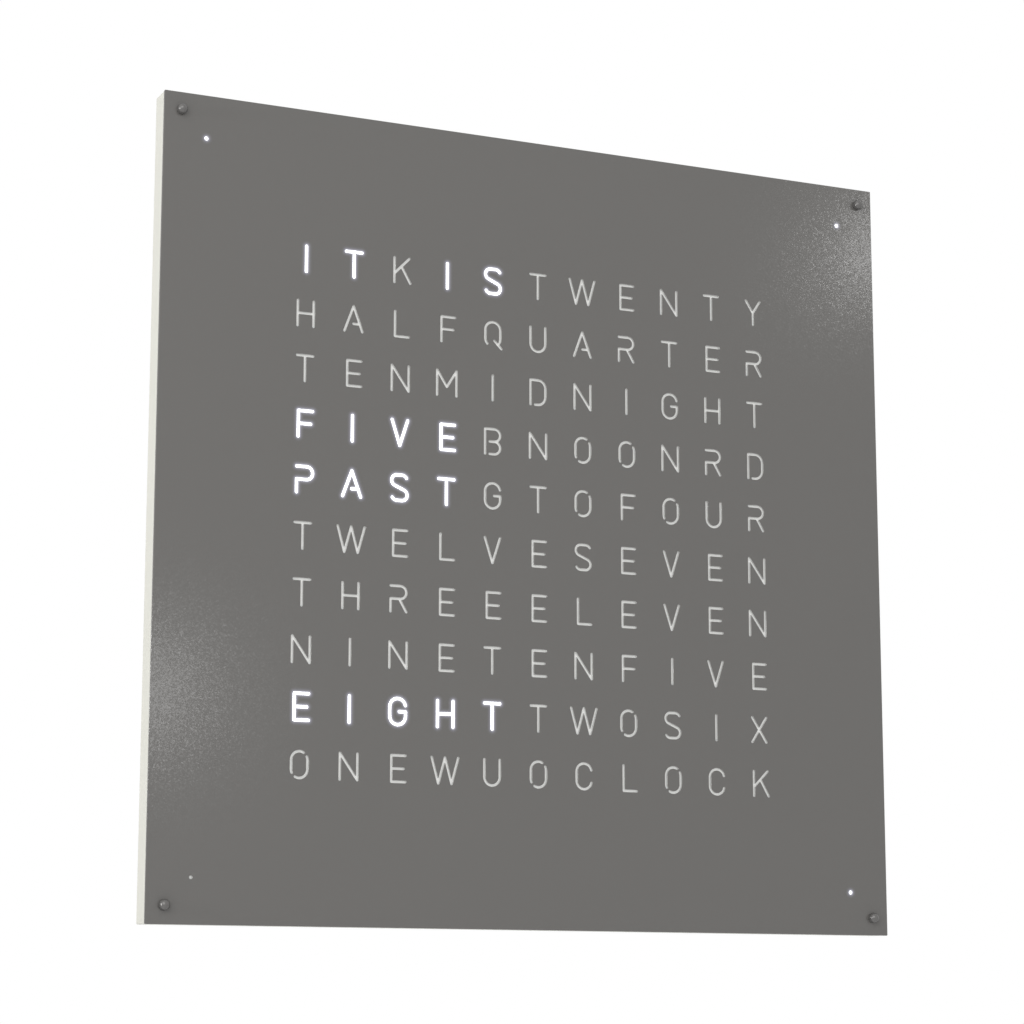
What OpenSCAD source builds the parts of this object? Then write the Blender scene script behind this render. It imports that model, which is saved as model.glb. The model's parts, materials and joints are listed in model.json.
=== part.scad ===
// Wall word clock: a pierced steel cover over a square body of lit cells.
// X runs to the right, Z up, and Y from the front to the wall, which is the plane Y = 0.

/* [Cover] */
// Width and height of the square cover
face_size = 450; // [446:1:460]
// Thickness of the steel cover
cover_t = 1; // [0.8:0.1:1.4]
// Radius of the cover's four corners
cover_corner_r = 0.8; // [0.4:0.1:2]
// Gap between the cover and the body behind it
cover_gap = 0.3; // [0.2:0.05:0.4]

/* [Letters] */
// Spacing of the letter columns
col_pitch = 28.25; // [27:0.25:30]
// Spacing of the letter rows
row_pitch = 31; // [29:0.25:32]
// Height of a letter, over its strokes
cap_h = 15.8; // [14:0.2:17]
// Width of an ordinary letter, over its strokes
cap_w = 10.8; // [10:0.2:12]
// Width of a narrow letter, such as E
slim_w = 9.7; // [9:0.1:10.5]
// Shift of a narrow letter to the right of its cell's middle
slim_shift = 0.7; // [0:0.1:1]
// Width of the slot that draws a letter
stroke_w = 1.5; // [1.3:0.1:1.8]
// How much smaller a stroke's round end is than half its width
end_ease = 0.05; // [0.03:0.01:0.08]
// Radius of the two hooks of an S, on the stroke's middle
hook_r = 3.1; // [2.8:0.1:3.4]
// Metal bridge that holds the inside of a closed letter
bridge_w = 1.3; // [1.2:0.1:2]
// Diameter of a minute hole
dot_d = 2; // [1.6:0.1:2.6]
// Distance of a minute hole from the cover's edges
dot_inset = 24.5; // [23.5:0.5:30]

/* [Corner balls] */
// Radius of a ball
ball_r = 3; // [2.8:0.1:3.4]
// Radius of the cover's hole that a ball sits in
ball_hole_r = 2.6; // [2.4:0.05:2.7]
// Running gap between a ball and the rim of its hole
ball_gap = 0.05; // [0.03:0.01:0.08]
// Distance of a ball from the cover's edges
ball_inset = 10; // [9.6:0.1:10.4]
// Radius of a corner magnet
magnet_r = 5; // [4:0.1:5.2]
// Length of a corner magnet
magnet_h = 5; // [3:0.5:6]
// Wall and base of the steel cup round a magnet
cup_wall = 1; // [0.6:0.1:1.1]
// Depth of a magnet's face below the body's rim
magnet_recess = 0.4; // [0.4:0.05:0.6]

/* [Body] */
// Thickness of the body, front rim to back
body_t = 13.5; // [13:0.5:16]
// Step from the cover's edge in to the body's side
side_step = 0.2; // [0:0.1:0.5]
// Radius of the body's upright corners
body_corner_r = 0.8; // [0.4:0.1:2]
// Width of the body's side walls
wall_w = 17.8; // [17.4:0.1:19]
// Thickness of the body's floor
floor_t = 4; // [3.8:0.1:4.4]
// Clearance round the sheets inside the body
sheet_gap = 0.3; // [0.2:0.1:0.5]

/* [Light sheets] */
// Thickness of the diffuser behind the cover
diffuser_t = 0.5; // [0.3:0.1:1]
// Wall between two light cells
cell_wall = 1.6; // [1.2:0.1:2.4]
// Radius of the light well behind a minute hole
well_r = 4.5; // [3:0.25:5]
// Thickness of the LED board
board_t = 1.6; // [1.2:0.1:2]
// Width of a letter LED
led_w = 5; // [3.5:0.5:6]
// Height of a letter LED
led_h = 1.6; // [1:0.1:2.2]
// Width of a minute LED
dot_led_w = 3.5; // [2:0.5:5]
// Height of a minute LED
dot_led_h = 1.4; // [0.8:0.1:2]
// Width of the daylight sensor
sensor_w = 2; // [1.6:0.1:3]
// Height of the daylight sensor
sensor_h = 0.9; // [0.6:0.1:1.4]
// Distance of the sensor from the LED that it sits beside
sensor_offset = 8; // [6:0.5:10]
// Distance of the outer sheet screws from the middle of a side
sheet_screw_spread = 60; // [50:5:80]

/* [Screws] */
// Diameter of the main screws
screw_d = 3; // [2.5:0.1:3.2]
// Diameter of a main screw's head
screw_head_d = 5.6; // [5:0.1:6]
// Height of a main screw's head
screw_head_h = 1.8; // [1.4:0.1:2.2]
// Diameter of the small screws
small_d = 2; // [1.6:0.1:2.2]
// Diameter of a small screw's head
small_head_d = 3.8; // [3.2:0.1:4.2]
// Height of a small screw's head
small_head_h = 0.9; // [0.7:0.1:1]
// Clearance round a screw in its hole, on the radius
screw_gap = 0.05; // [0.03:0.01:0.1]
// Depth of a driver socket in a screw's head
socket_depth = 0.6; // [0.4:0.1:0.7]
// Floor or wall left beyond a blind hole
blind_web = 0.4; // [0.3:0.1:0.6]
// Outside radius of a threaded insert
insert_r = 2.3; // [2.1:0.1:2.8]
// Length of a threaded insert
insert_h = 3.2; // [2.4:0.1:3.4]

/* [Rear frame] */
// Thickness of the rear frame
frame_t = 5.2; // [5:0.1:6]
// Distance of the rear frame's edge from the body's edge
frame_inset = 34.8; // [33:0.2:38]
// Radius of the rear frame's corners
frame_corner_r = 4; // [1:0.5:8]
// Distance of the frame's screws from its edge
frame_screw_inset = 14; // [12:0.5:16]
// Distance of a frame screw along its side from the frame's corner
frame_screw_run = 72; // [68:1:80]
// Width of the electronics bay
bay_w = 140; // [136:1:150]
// Height of the electronics bay
bay_h = 90; // [88:1:96]
// Height of the bay's middle above the rear frame's lower edge
bay_rise = 100; // [98:1:104]
// Width of the ledge that carries the control board
ledge_w = 7; // [6:0.5:8]
// Thickness of that ledge
ledge_t = 2; // [1.8:0.1:2.2]
// Thickness of the bay's steel cover
plate_t = 1.2; // [0.8:0.1:1.4]
// Width of the rebate that the bay's cover lies in
rebate_w = 8; // [7:0.5:8.5]
// Clearance round a plate in its rebate
plate_gap = 0.2; // [0.1:0.05:0.3]

/* [Control board] */
// Thickness of the control board and the button board
pcb_t = 1.2; // [1:0.1:1.4]
// Rim of a board outside the heads of its screws
board_rim = 1.6; // [1:0.1:2]
// Radius of the coin cell
cell_r = 10; // [9:0.5:10.5]
// Thickness of the coin cell
cell_t = 3.2; // [2:0.1:3.3]
// Base under the coin cell
holder_base_t = 0.8; // [0.6:0.1:1]
// Wall round the coin cell
holder_wall = 1.8; // [1.2:0.1:2.4]
// Height of that wall above the coin cell
holder_lip = 0.2; // [0.1:0.1:0.3]
// Distance of the coin cell from the middle of the board
holder_offset = 40; // [38:1:44]
// Radius of the antenna's ferrite rod
antenna_r = 1.9; // [1.5:0.1:2]
// Length of the antenna's ferrite rod
antenna_l = 60; // [50:1:64]
// Clearance between the rod and the board
antenna_lift = 0.3; // [0.1:0.1:0.5]
// Distance of the rod from the board's upper edge
antenna_inset = 12; // [11:0.5:13]
// Width of an antenna clip along the rod
clip_w = 5; // [4:0.5:8]
// Wall of a clip on each side of the rod
clip_wall = 1.5; // [1:0.1:2]
// Height of a clip above the middle of the rod
clip_rise = 0.7; // [0.5:0.1:1]
// Width of the power terminal
terminal_w = 10; // [8:0.5:14]
// Length of the power terminal
terminal_l = 8; // [6:0.5:10]
// Height of the power terminal
terminal_h = 3.6; // [3.2:0.1:4]
// Distance of the power terminal from the board's lower edge
terminal_inset = 4; // [3:0.5:6]
// Width of the processor
processor_w = 10; // [8:0.5:12]
// Height of the processor and of the LED drivers
chip_h = 1.4; // [1:0.1:1.8]
// Length of an LED driver
driver_l = 10; // [8:0.5:12]
// Width of an LED driver
driver_w = 4; // [3.5:0.5:6]
// Distance between two LED drivers
driver_pitch = 25; // [15:1:28]
// Distance of the LED drivers below the bay's middle
driver_drop = 18; // [12:1:24]
// Width of the crystal
crystal_w = 3.8; // [3:0.1:5]
// Length of the crystal
crystal_l = 8; // [6:0.5:11]
// Height of the crystal
crystal_h = 2.5; // [2:0.1:3.5]
// Distance of the crystal from the middle of the board
crystal_offset = 14; // [12:1:18]
// Width of the regulator
regulator_w = 6.5; // [5:0.5:8]
// Height of the regulator
regulator_h = 2.3; // [1.6:0.1:2.8]
// Distance of the power parts below the bay's middle
power_drop = 23; // [20:1:25]
// Radius of a capacitor
capacitor_r = 2.5; // [2:0.1:3]
// Height of a capacitor
capacitor_h = 4; // [3:0.1:4]
// Distance between the two capacitors
capacitor_pitch = 8; // [7:0.5:10]
// Width of the radio receiver
receiver_w = 18; // [14:1:22]
// Length of the radio receiver
receiver_l = 14; // [10:1:16]
// Height of the radio receiver
receiver_h = 1.8; // [1.4:0.1:2.4]
// Distance of the radio receiver from the middle of the board
receiver_offset = 42; // [38:1:44]
// Height of the radio receiver above the bay's middle
receiver_rise = 8; // [4:1:9]
// Length of the plug between the two boards
link_l = 24; // [16:1:30]
// Width of the plug between the two boards
link_w = 5; // [4:0.5:6]
// Height of that plug above the bay's middle
link_rise = 20; // [14:1:28]

/* [Power inlet] */
// Width of the inlet's body
inlet_w = 9; // [8:0.5:11]
// Length of the inlet's body
inlet_l = 14; // [12:0.5:16]
// Depth of the inlet's body, front to back
inlet_d = 7; // [6.6:0.1:7]
// Radius of the bore that takes the plug
inlet_bore_r = 2.8; // [2.6:0.05:3]
// Depth of that bore
inlet_bore_l = 10; // [8:0.5:11]
// Distance of the centre pin's tip inside the mouth
pin_recess = 1; // [0.5:0.5:2]
// Radius of the inlet's centre pin
inlet_pin_r = 1; // [0.8:0.05:1.2]
// Height of the inlet's mouth above the rear frame's lower edge
inlet_rise = 26; // [24:0.5:27]
// Width of the recess that takes the plug and its cord
recess_w = 13; // [12:0.5:15]
// Clearance between the inlet and its pocket
inlet_gap = 0.1; // [0.05:0.05:0.2]
// Thickness of the bracket that holds the inlet
bracket_t = 1; // [0.8:0.1:1.2]
// Width of that bracket
bracket_w = 26; // [25:1:30]
// Distance of the bracket's screws from its ends
bracket_screw_inset = 3.4; // [3.2:0.1:3.6]
// Length of the bracket past each end of the inlet
bracket_over = 2; // [1:0.5:2.5]
// Radius of an inlet lead
lead_r = 0.6; // [0.4:0.1:0.8]
// Distance between the two leads
lead_pitch = 3; // [2.2:0.1:4]
// Width of the passage that the leads run through
passage_w = 7; // [6:0.5:8]

/* [Buttons] */
// Radius of a button
button_r = 3; // [2.5:0.1:3.2]
// Running clearance round a button
button_gap = 0.1; // [0.06:0.02:0.1]
// Depth of a button's face below the body's side
button_recess = 0.2; // [0:0.1:0.4]
// Distance between two buttons
button_pitch = 16; // [14:0.5:17]
// Travel of a button
button_travel = 0.6; // [0.3:0.1:0.7]
// Radius of the collar that keeps a button in
collar_r = 4.1; // [3.8:0.1:4.2]
// Thickness of that collar
collar_t = 1; // [0.8:0.1:1.4]
// Gap between the collar and the wall that stops it
collar_gap = 0.3; // [0.2:0.05:0.4]
// Thickness of the wall that the buttons pass through
button_wall = 7.8; // [7:0.1:8.4]
// Width of a push switch
switch_w = 6; // [5:0.5:7]
// Height of a push switch
switch_h = 3.5; // [3:0.1:4]
// Radius of a switch's plunger
plunger_r = 1.6; // [1.2:0.1:1.8]
// Height of the plunger above its switch
plunger_h = 1; // [0.8:0.1:1.4]
// Spare depth in the plunger's hole past its travel
plunger_spare = 0.2; // [0.1:0.05:0.3]
// Length of the plunger inside the switch
plunger_foot = 1; // [0.6:0.1:1.2]
// Length of the button board past the outer buttons
button_board_over = 12; // [11:0.5:13]
// Length of the space for the switches past the outer buttons
switch_bay_over = 8; // [6:0.5:9]
// Distance of the button board's screws from its ends
button_screw_inset = 2; // [2:0.1:2.4]
// Length of those screws in the wall
button_screw_l = 4; // [3:0.5:5]
// Width of the flat cable from the buttons
cable_w = 6; // [4:0.5:8]
// Thickness of that cable
cable_t = 0.4; // [0.3:0.05:0.5]
// Depth of the cable's groove in the floor
groove_depth = 1; // [0.8:0.1:1.2]
// Margin of the groove along each side of the cable
groove_margin = 1; // [0.5:0.1:1.5]
// Length of the socket that the cable ends in
socket_l = 8; // [6:0.5:10]
// Margin of that socket along each side of the cable
socket_margin = 1.5; // [1:0.1:2]

/* [Hangers] */
// Distance of a keyhole from the rear frame's side
hanger_inset = 50; // [45:1:55]
// Distance of a keyhole's round end below the rear frame's top
hanger_drop = 45; // [42:1:50]
// Width of a hanger plate
hanger_w = 24; // [22:1:26]
// Length of a hanger plate
hanger_l = 40; // [38:1:42]
// Thickness of a hanger plate
hanger_t = 1.5; // [1:0.1:2]
// Radius of a keyhole's round end
keyhole_r = 4.5; // [4:0.1:5]
// Width of a keyhole's neck
neck_w = 4.5; // [3.5:0.1:4.6]
// Height of the neck's end above the round end
neck_rise = 10; // [8:0.5:11]
// Clearance round a wall screw's head behind the plate
head_room = 2.5; // [1.5:0.5:3]
// Distance of the plate's own screws from its ends
hanger_screw_inset = 3.2; // [3:0.1:3.4]

/* [Hidden] */
$fn = 32;

// The letter matrix. Each row is one string, and each letter fills one light cell.
words = [
  "ITKISTWENTY", "HALFQUARTER", "TENMIDNIGHT", "FIVEBNOONRD", "PASTGTOFOUR",
  "TWELVESEVEN", "THREEELEVEN", "NINETENFIVE", "EIGHTTWOSIX", "ONEWUOCLOCK"
];
rows = len(words);
cols = len(words[0]);

// Levels, counted from the wall
y_body_back = -frame_t;
y_body_front = y_body_back - body_t;
y_cover_back = y_body_front - cover_gap;
y_front = y_cover_back - cover_t;
y_diffuser_back = y_body_front + diffuser_t;
y_floor = y_body_back - floor_t;
y_board = y_floor - board_t;
y_ledge = y_floor + ledge_t;
y_pcb = y_ledge + pcb_t;

// Half widths
half_face = face_size / 2;
half_body = half_face - side_step;
half_cavity = half_body - wall_w;
half_sheet = half_cavity - sheet_gap;
half_frame = half_body - frame_inset;

// Letter strokes, on their centre lines
half_cap = (cap_h - stroke_w) / 2;
half_wide = (cap_w - stroke_w) / 2;
half_slim = (slim_w - stroke_w) / 2;
bowl_r = half_cap / 2;
round_z = half_cap - half_wide;
gap_run = bridge_w + stroke_w;
gap_turn = gap_run / half_wide * 180 / PI;
end_r = stroke_w / 2 - end_ease;
hook_end = 242;
jaw_turn = 12;

// Places
dot_at = half_face - dot_inset;
ball_at = half_face - ball_inset;
ball_y = y_front - sqrt(pow(ball_r + ball_gap, 2) - pow(ball_hole_r, 2));
magnet_y = y_body_front + magnet_recess;
cup_r = magnet_r + cup_wall;
half_cells = max(cols * col_pitch, rows * row_pitch) / 2;
sheet_screw_at = (half_cells + half_cavity) / 2;
sheet_screw_seat = y_diffuser_back + screw_head_h + blind_web;
frame_screw_at = half_frame - frame_screw_inset;
frame_screw_spread = half_frame - frame_screw_run;
board_screw_in = small_head_d / 2 + board_rim;
bay_z = bay_rise - half_frame;
hanger_x = half_frame - hanger_inset;
hanger_z = half_frame - hanger_drop;
inlet_z = inlet_rise - half_frame;
inlet_back = -bracket_t - inlet_gap;
inlet_y = inlet_back - inlet_d / 2;
pocket_y = inlet_back - inlet_d - inlet_gap;
terminal_z = bay_z - bay_h / 2 + terminal_inset;
antenna_z = bay_z + bay_h / 2 - antenna_inset;
antenna_y = y_pcb + antenna_r + antenna_lift;
switch_x = half_body - button_wall - collar_gap - collar_t - plunger_h - switch_h;
button_board_x = switch_x - pcb_t;
button_y = (y_body_front + y_floor) / 2;
button_board_w = y_floor - y_body_front - 2 * sheet_gap;
button_board_l = 2 * (button_pitch + button_board_over);
switch_bay_l = 2 * (button_pitch + switch_bay_over);
cable_y = y_floor + groove_depth - cable_t - sheet_gap;
socket_x = bay_w / 2 - ledge_w - sheet_gap;
cuts = 0.5;

function cell(r, c) = [(c - (cols - 1) / 2) * col_pitch, ((rows - 1) / 2 - r) * row_pitch];
function corners(a, b) = [for (x = [-a, a], z = [-b, b]) [x, z]];
function ring(at, spread) = concat(
  corners(at, spread), corners(spread, at)
);
function bay_corners(inset) = [
  for (p = corners(bay_w / 2 - inset, bay_h / 2 - inset)) p + [0, bay_z]
];
dots = corners(dot_at, dot_at);
balls = corners(ball_at, ball_at);
sheet_screw_spots = concat(
  corners(sheet_screw_at, sheet_screw_at), ring(sheet_screw_at, sheet_screw_spread)
);
frame_screw_spots = ring(frame_screw_at, frame_screw_spread);
bay_screw_spots = bay_corners(-rebate_w / 2);
board_screw_spots = bay_corners(board_screw_in);
hanger_spots = [for (x = [-hanger_x, hanger_x]) [x, hanger_z]];
hanger_mid = (neck_rise - keyhole_r) / 2;
hanger_screw_spots = [
  for (p = hanger_spots, s = [-1, 1]) p + [0, hanger_mid + s * (hanger_l / 2 - hanger_screw_inset)]
];
inlet_screw_spots = [
  for (s = [-1, 1]) [s * (bracket_w / 2 - bracket_screw_inset), inlet_z + inlet_l / 2]
];
buttons = [for (i = [-1 : 1]) bay_z + i * button_pitch];
button_screws = [for (s = [-1, 1]) bay_z + s * (button_board_l / 2 - button_screw_inset)];

// A flat shape in X and Z, carried from one level to another
module sheet(from, to)
  translate([0, to, 0]) rotate([90, 0, 0]) linear_extrude(to - from) children();

// A round bar along Y
module bar(at, from, to, r)
  translate([at.x, to, at.y]) rotate([90, 0, 0]) cylinder(h = to - from, r = r);

// A round bar along X
module cross_bar(y, z, from, to, r)
  translate([from, y, z]) rotate([0, 90, 0]) cylinder(h = to - from, r = r);

// A block given by its two corners
module block(low, high) translate(low) cube(high - low);

// A block that stands on the back of the control board, at a place in X and Z
module component(at, size, h)
  sheet(y_pcb, y_pcb + h) translate(at) square(size, center = true);

// A rectangle with round corners, centred on a place
module plate(size, r, at = [0, 0]) translate(at) {
  square(size - [2 * r, 0], center = true);
  square(size - [0, 2 * r], center = true);
  for (p = corners(size.x / 2 - r, size.y / 2 - r)) translate(p) circle(r);
}

// A pan-head screw along Y. Its head seats at a level and points to the front or the back.
module pan_screw(at, seat, reach, d, head_d, head_h, side) {
  mouth = seat + side * head_h;
  socket = mouth - side * socket_depth;
  difference() {
    bar(at, min(seat, mouth), max(seat, mouth), head_d / 2);
    translate([at.x, max(socket, mouth + side * cuts), at.y]) rotate([90, 0, 0])
      cylinder(h = socket_depth + cuts, r = head_d / 4, $fn = 6);
  }
  bar(at, min(seat, seat - side * reach), max(seat, seat - side * reach), d / 2);
}

// A countersunk screw whose flat head is flush with a level and faces the back
module flat_screw(at, level, reach, d, head_d) {
  cone = (head_d - d) / 2;
  difference() {
    translate([at.x, level, at.y]) rotate([90, 0, 0]) cylinder(h = cone, r1 = head_d / 2, r2 = d / 2);
    translate([at.x, level + cuts, at.y]) rotate([90, 0, 0])
      cylinder(h = cone / 2 + cuts, r = d / 3, $fn = 6);
  }
  bar(at, level - reach, level - cone, d / 2);
}

// The hole of a countersunk screw
module flat_screw_hole(at, level, reach, d, head_d) {
  r = d / 2 + screw_gap;
  cone = (head_d - d) / 2;
  bar(at, level - reach, level + cuts, r);
  translate([at.x, level + screw_gap, at.y]) rotate([90, 0, 0])
    cylinder(h = cone + screw_gap, r1 = head_d / 2 + 2 * screw_gap, r2 = r);
}

// A straight stroke of a letter, with round ends
module stroke(a, b) {
  run = b - a;
  translate(a) rotate(atan2(run.y, run.x)) translate([0, -stroke_w / 2]) square([norm(run), stroke_w]);
  for (end = [a, b]) translate(end) circle(end_r);
}

// Straight strokes from point to point
module strokes(points)
  for (i = [1 : len(points) - 1]) stroke(points[i - 1], points[i]);

// A curved stroke of a letter, with round ends, counter-clockwise between two angles
module curve(centre, r, from, to) {
  steps = ceil((to - from) / 60);
  translate(centre) {
    intersection() {
      difference() {
        circle(r + stroke_w / 2);
        circle(r - stroke_w / 2);
      }
      polygon([
        [0, 0],
        for (i = [0 : steps]) let (a = from + (to - from) * i / steps) 2 * r * [cos(a), sin(a)]
      ]);
    }
    for (a = [from, to]) translate(r * [cos(a), sin(a)]) circle(end_r);
  }
}

// The bowl of P, R and B, and the bar that carries it, from a start at the left
module bowl(low, start) {
  stroke([start, low], [half_wide - bowl_r, low]);
  curve([half_wide - bowl_r, low + bowl_r], bowl_r, -90, 90);
}

// An S: two hooks, each the other turned half round, and the spine between their ends
module letter_s() {
  side = half_wide - hook_r;
  high = half_cap - hook_r;
  spine = [-side, high] + hook_r * [cos(hook_end), sin(hook_end)];
  for (turn = [0, 180]) rotate(turn) {
    curve([side, high], hook_r, 30, 90);
    stroke([side, half_cap], [-side, half_cap]);
    curve([-side, high], hook_r, 90, hook_end);
  }
  stroke(spine, -spine);
}

// One letter, as slots that leave every closed inside held by a bridge
module letter(ch) {
  w = half_wide;
  s = half_slim;
  h = half_cap;
  if (ch == "A") {
    strokes([[-1.14 * w, -h], [0, h], [1.14 * w, -h]]);
    stroke([0, -0.4 * h], [0.8 * w, -0.4 * h]);
  }
  if (ch == "B") {
    strokes([[-w, -h], [-w, h], [w - bowl_r, h]]);
    bowl(0, gap_run - w);
    bowl(-h, gap_run - w);
  }
  if (ch == "C") {
    curve([0, round_z], w, jaw_turn, 180);
    stroke([-w, round_z], [-w, -round_z]);
    curve([0, -round_z], w, 180, 360 - jaw_turn);
  }
  if (ch == "D") {
    strokes([[-w, -h], [-w, h], [0, h]]);
    curve([0, round_z], w, 0, 90);
    stroke([w, round_z], [w, -round_z]);
    curve([0, -round_z], w, -90, 0);
    stroke([0, -h], [gap_run - w, -h]);
  }
  if (ch == "E") {
    strokes([[s, h], [-s, h], [-s, -h], [s, -h]]);
    stroke([-s, 0], [0.75 * s, 0]);
  }
  if (ch == "F") {
    strokes([[s, h], [-s, h], [-s, -h]]);
    stroke([-s, 0], [0.75 * s, 0]);
  }
  if (ch == "G") {
    curve([0, round_z], w, jaw_turn, 180);
    stroke([-w, round_z], [-w, -round_z]);
    curve([0, -round_z], w, 180, 360);
    strokes([[w, -round_z], [w, 0], [0.2 * w, 0]]);
  }
  if (ch == "H") {
    for (x = [-w, w]) stroke([x, -h], [x, h]);
    stroke([-w, 0], [w, 0]);
  }
  if (ch == "I") stroke([0, -h], [0, h]);
  if (ch == "K") {
    stroke([-0.86 * w, -h], [-0.86 * w, h]);
    stroke([-0.86 * w, -0.28 * h], [1.08 * w, h]);
    stroke([0.05 * w, 0.32 * h], [1.2 * w, -h]);
  }
  if (ch == "L") strokes([[-s, h], [-s, -h], [s, -h]]);
  if (ch == "M") {
    leg = 1.27 * w;
    strokes([[-leg, -h], [-leg, h], [0, -0.3 * h], [leg, h], [leg, -h]]);
  }
  if (ch == "N") {
    leg = 1.09 * w;
    strokes([[-leg, -h], [-leg, h], [leg, -h], [leg, h]]);
  }
  if (ch == "O") for (turn = [0, 180]) rotate(turn) {
    curve([0, round_z], w, 42 + gap_turn / 2, 180);
    stroke([-w, round_z], [-w, -round_z]);
    curve([0, -round_z], w, 180, 222 - gap_turn / 2);
  }
  if (ch == "P" || ch == "R") {
    stroke([-w, -h], [-w, 0]);
    bowl(0, -w);
    stroke([-w, h], [w - bowl_r, h]);
  }
  if (ch == "R") stroke([0.1 * w, 0], [w, -h]);
  if (ch == "Q") {
    curve([0, round_z], w, 0, 180);
    for (x = [-w, w]) stroke([x, round_z], [x, -round_z]);
    curve([0, -round_z], w, 180, 222);
    curve([0, -round_z], w, 322, 360);
    stroke([0.2 * w, -0.5 * h], [1.15 * w, -1.12 * h]);
  }
  if (ch == "S") letter_s();
  if (ch == "T") {
    stroke([-w, h], [w, h]);
    stroke([0, h], [0, -h]);
  }
  if (ch == "U") {
    for (x = [-w, w]) stroke([x, h], [x, -round_z]);
    curve([0, -round_z], w, 180, 360);
  }
  if (ch == "V") strokes([[-w, h], [0, -h], [w, h]]);
  if (ch == "W") strokes([[-1.7 * w, h], [-0.85 * w, -h], [0, h], [0.85 * w, -h], [1.7 * w, h]]);
  if (ch == "X") {
    stroke([-w, -h], [w, h]);
    stroke([-w, h], [w, -h]);
  }
  if (ch == "Y") {
    strokes([[-w, h], [0, 0], [w, h]]);
    stroke([0, 0], [0, -h]);
  }
}

// How far a letter stands to the right of its cell's middle
function shift(ch) = len(search(ch, "EFLP")) > 0 ? [slim_shift, 0] : [0, 0];

module front_cover() color("dimgray")
  sheet(y_front, y_cover_back) difference() {
    plate([face_size, face_size], cover_corner_r);
    for (r = [0 : rows - 1], c = [0 : cols - 1])
      translate(cell(r, c) + shift(words[r][c])) letter(words[r][c]);
    for (p = dots) translate(p) circle(d = dot_d);
    for (p = balls) translate(p) circle(ball_hole_r);
  }

module corner_ball(side_x, side_z) color("gray")
  translate([side_x * ball_at, ball_y, side_z * ball_at]) sphere(ball_r);

module magnet_cups() color("silver") for (p = balls) difference() {
  bar(p, magnet_y, magnet_y + magnet_h + cup_wall, cup_r);
  bar(p, magnet_y - cuts, magnet_y + magnet_h, magnet_r);
}

module corner_magnets() color("darkgray")
  for (p = balls) bar(p, magnet_y, magnet_y + magnet_h, magnet_r);

// The body is a square tray. Its floor carries the LED board on the front and the rear frame behind.
module body_shell() color("ivory") difference() {
  sheet(y_body_front, y_body_back) plate(2 * [half_body, half_body], body_corner_r);
  sheet(y_body_front - cuts, y_floor) square(2 * half_cavity, center = true);
  for (p = balls) bar(p, y_body_front - cuts, magnet_y + magnet_h + cup_wall, cup_r + screw_gap);
  for (p = sheet_screw_spots) bar(p, y_floor - cuts, y_floor + insert_h, insert_r);
  for (p = frame_screw_spots) bar(p, y_floor + blind_web, y_body_back + cuts, screw_d / 2 + screw_gap);
  bay_in_floor();
  inlet_in_floor();
  button_bay();
  for (p = hanger_spots) hanger_relief(p, y_body_back + cuts);
}

// The bay's share of the floor: a through window with a ledge round it for the control board
module bay_in_floor() {
  sheet(y_floor - cuts, y_body_back + cuts)
    translate([0, bay_z]) square([bay_w, bay_h] - 2 * [ledge_w, ledge_w], center = true);
  sheet(y_ledge, y_body_back + cuts) translate([0, bay_z]) square([bay_w, bay_h], center = true);
  for (p = board_screw_spots) bar(p, y_floor + blind_web, y_ledge + cuts, small_d / 2 + screw_gap);
  block(
    [socket_x, y_floor - cuts, bay_z - cable_w / 2 - groove_margin],
    [switch_x + cuts, y_floor + groove_depth, bay_z + cable_w / 2 + groove_margin]
  );
}

// The inlet's share of the floor, behind the rear frame: its pocket and the plug's recess
module inlet_in_floor() {
  block([-recess_w / 2, pocket_y, -half_frame], [recess_w / 2, y_body_back + cuts, inlet_z]);
  block(
    [-inlet_w / 2 - inlet_gap, pocket_y, inlet_z - cuts],
    [inlet_w / 2 + inlet_gap, y_body_back + cuts, inlet_z + inlet_l + inlet_gap]
  );
}

// Bores through the side wall, the space for the switches, and the recess of their board
module button_bay() {
  for (z = buttons)
    cross_bar(button_y, z, half_body - button_wall - cuts, half_body + cuts, button_r + button_gap);
  block(
    [switch_x - cuts, y_body_front - cuts, bay_z - switch_bay_l / 2],
    [half_body - button_wall, y_floor, bay_z + switch_bay_l / 2]
  );
  block(
    [half_cavity - cuts, y_body_front - cuts, bay_z - button_board_l / 2 - sheet_gap],
    [switch_x, y_floor, bay_z + button_board_l / 2 + sheet_gap]
  );
  for (z = button_screws)
    cross_bar(button_y, z, switch_x - cuts, switch_x + button_screw_l, small_d / 2 + screw_gap);
}

// Room for the head of a wall screw behind a keyhole, from the floor out to a level
module hanger_relief(at, to) {
  room = keyhole_r + head_room;
  block(
    [at.x - room, pocket_y, at.y - room],
    [at.x + room, to, at.y + neck_rise + room]
  );
}

module diffuser_sheet() color("white")
  sheet(y_body_front, y_diffuser_back) square(2 * half_sheet, center = true);

module light_grid() color("whitesmoke") difference() {
  sheet(y_diffuser_back, y_board) difference() {
    square(2 * half_sheet, center = true);
    for (r = [0 : rows - 1], c = [0 : cols - 1])
      translate(cell(r, c)) square([col_pitch, row_pitch] - [cell_wall, cell_wall], center = true);
    for (p = dots) translate(p) circle(well_r);
    for (p = sheet_screw_spots) translate(p) circle(screw_d / 2 + screw_gap);
  }
  for (p = sheet_screw_spots)
    bar(p, y_diffuser_back - cuts, sheet_screw_seat, screw_head_d / 2 + 2 * screw_gap);
}

module led_board() color("seagreen")
  sheet(y_board, y_floor) difference() {
    square(2 * half_sheet, center = true);
    for (p = sheet_screw_spots) translate(p) circle(screw_d / 2 + screw_gap);
  }

module letter_leds() color("khaki")
  sheet(y_board - led_h, y_board)
    for (r = [0 : rows - 1], c = [0 : cols - 1]) translate(cell(r, c)) square(led_w, center = true);

module minute_leds() color("khaki")
  sheet(y_board - dot_led_h, y_board) for (p = dots) translate(p) square(dot_led_w, center = true);

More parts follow.
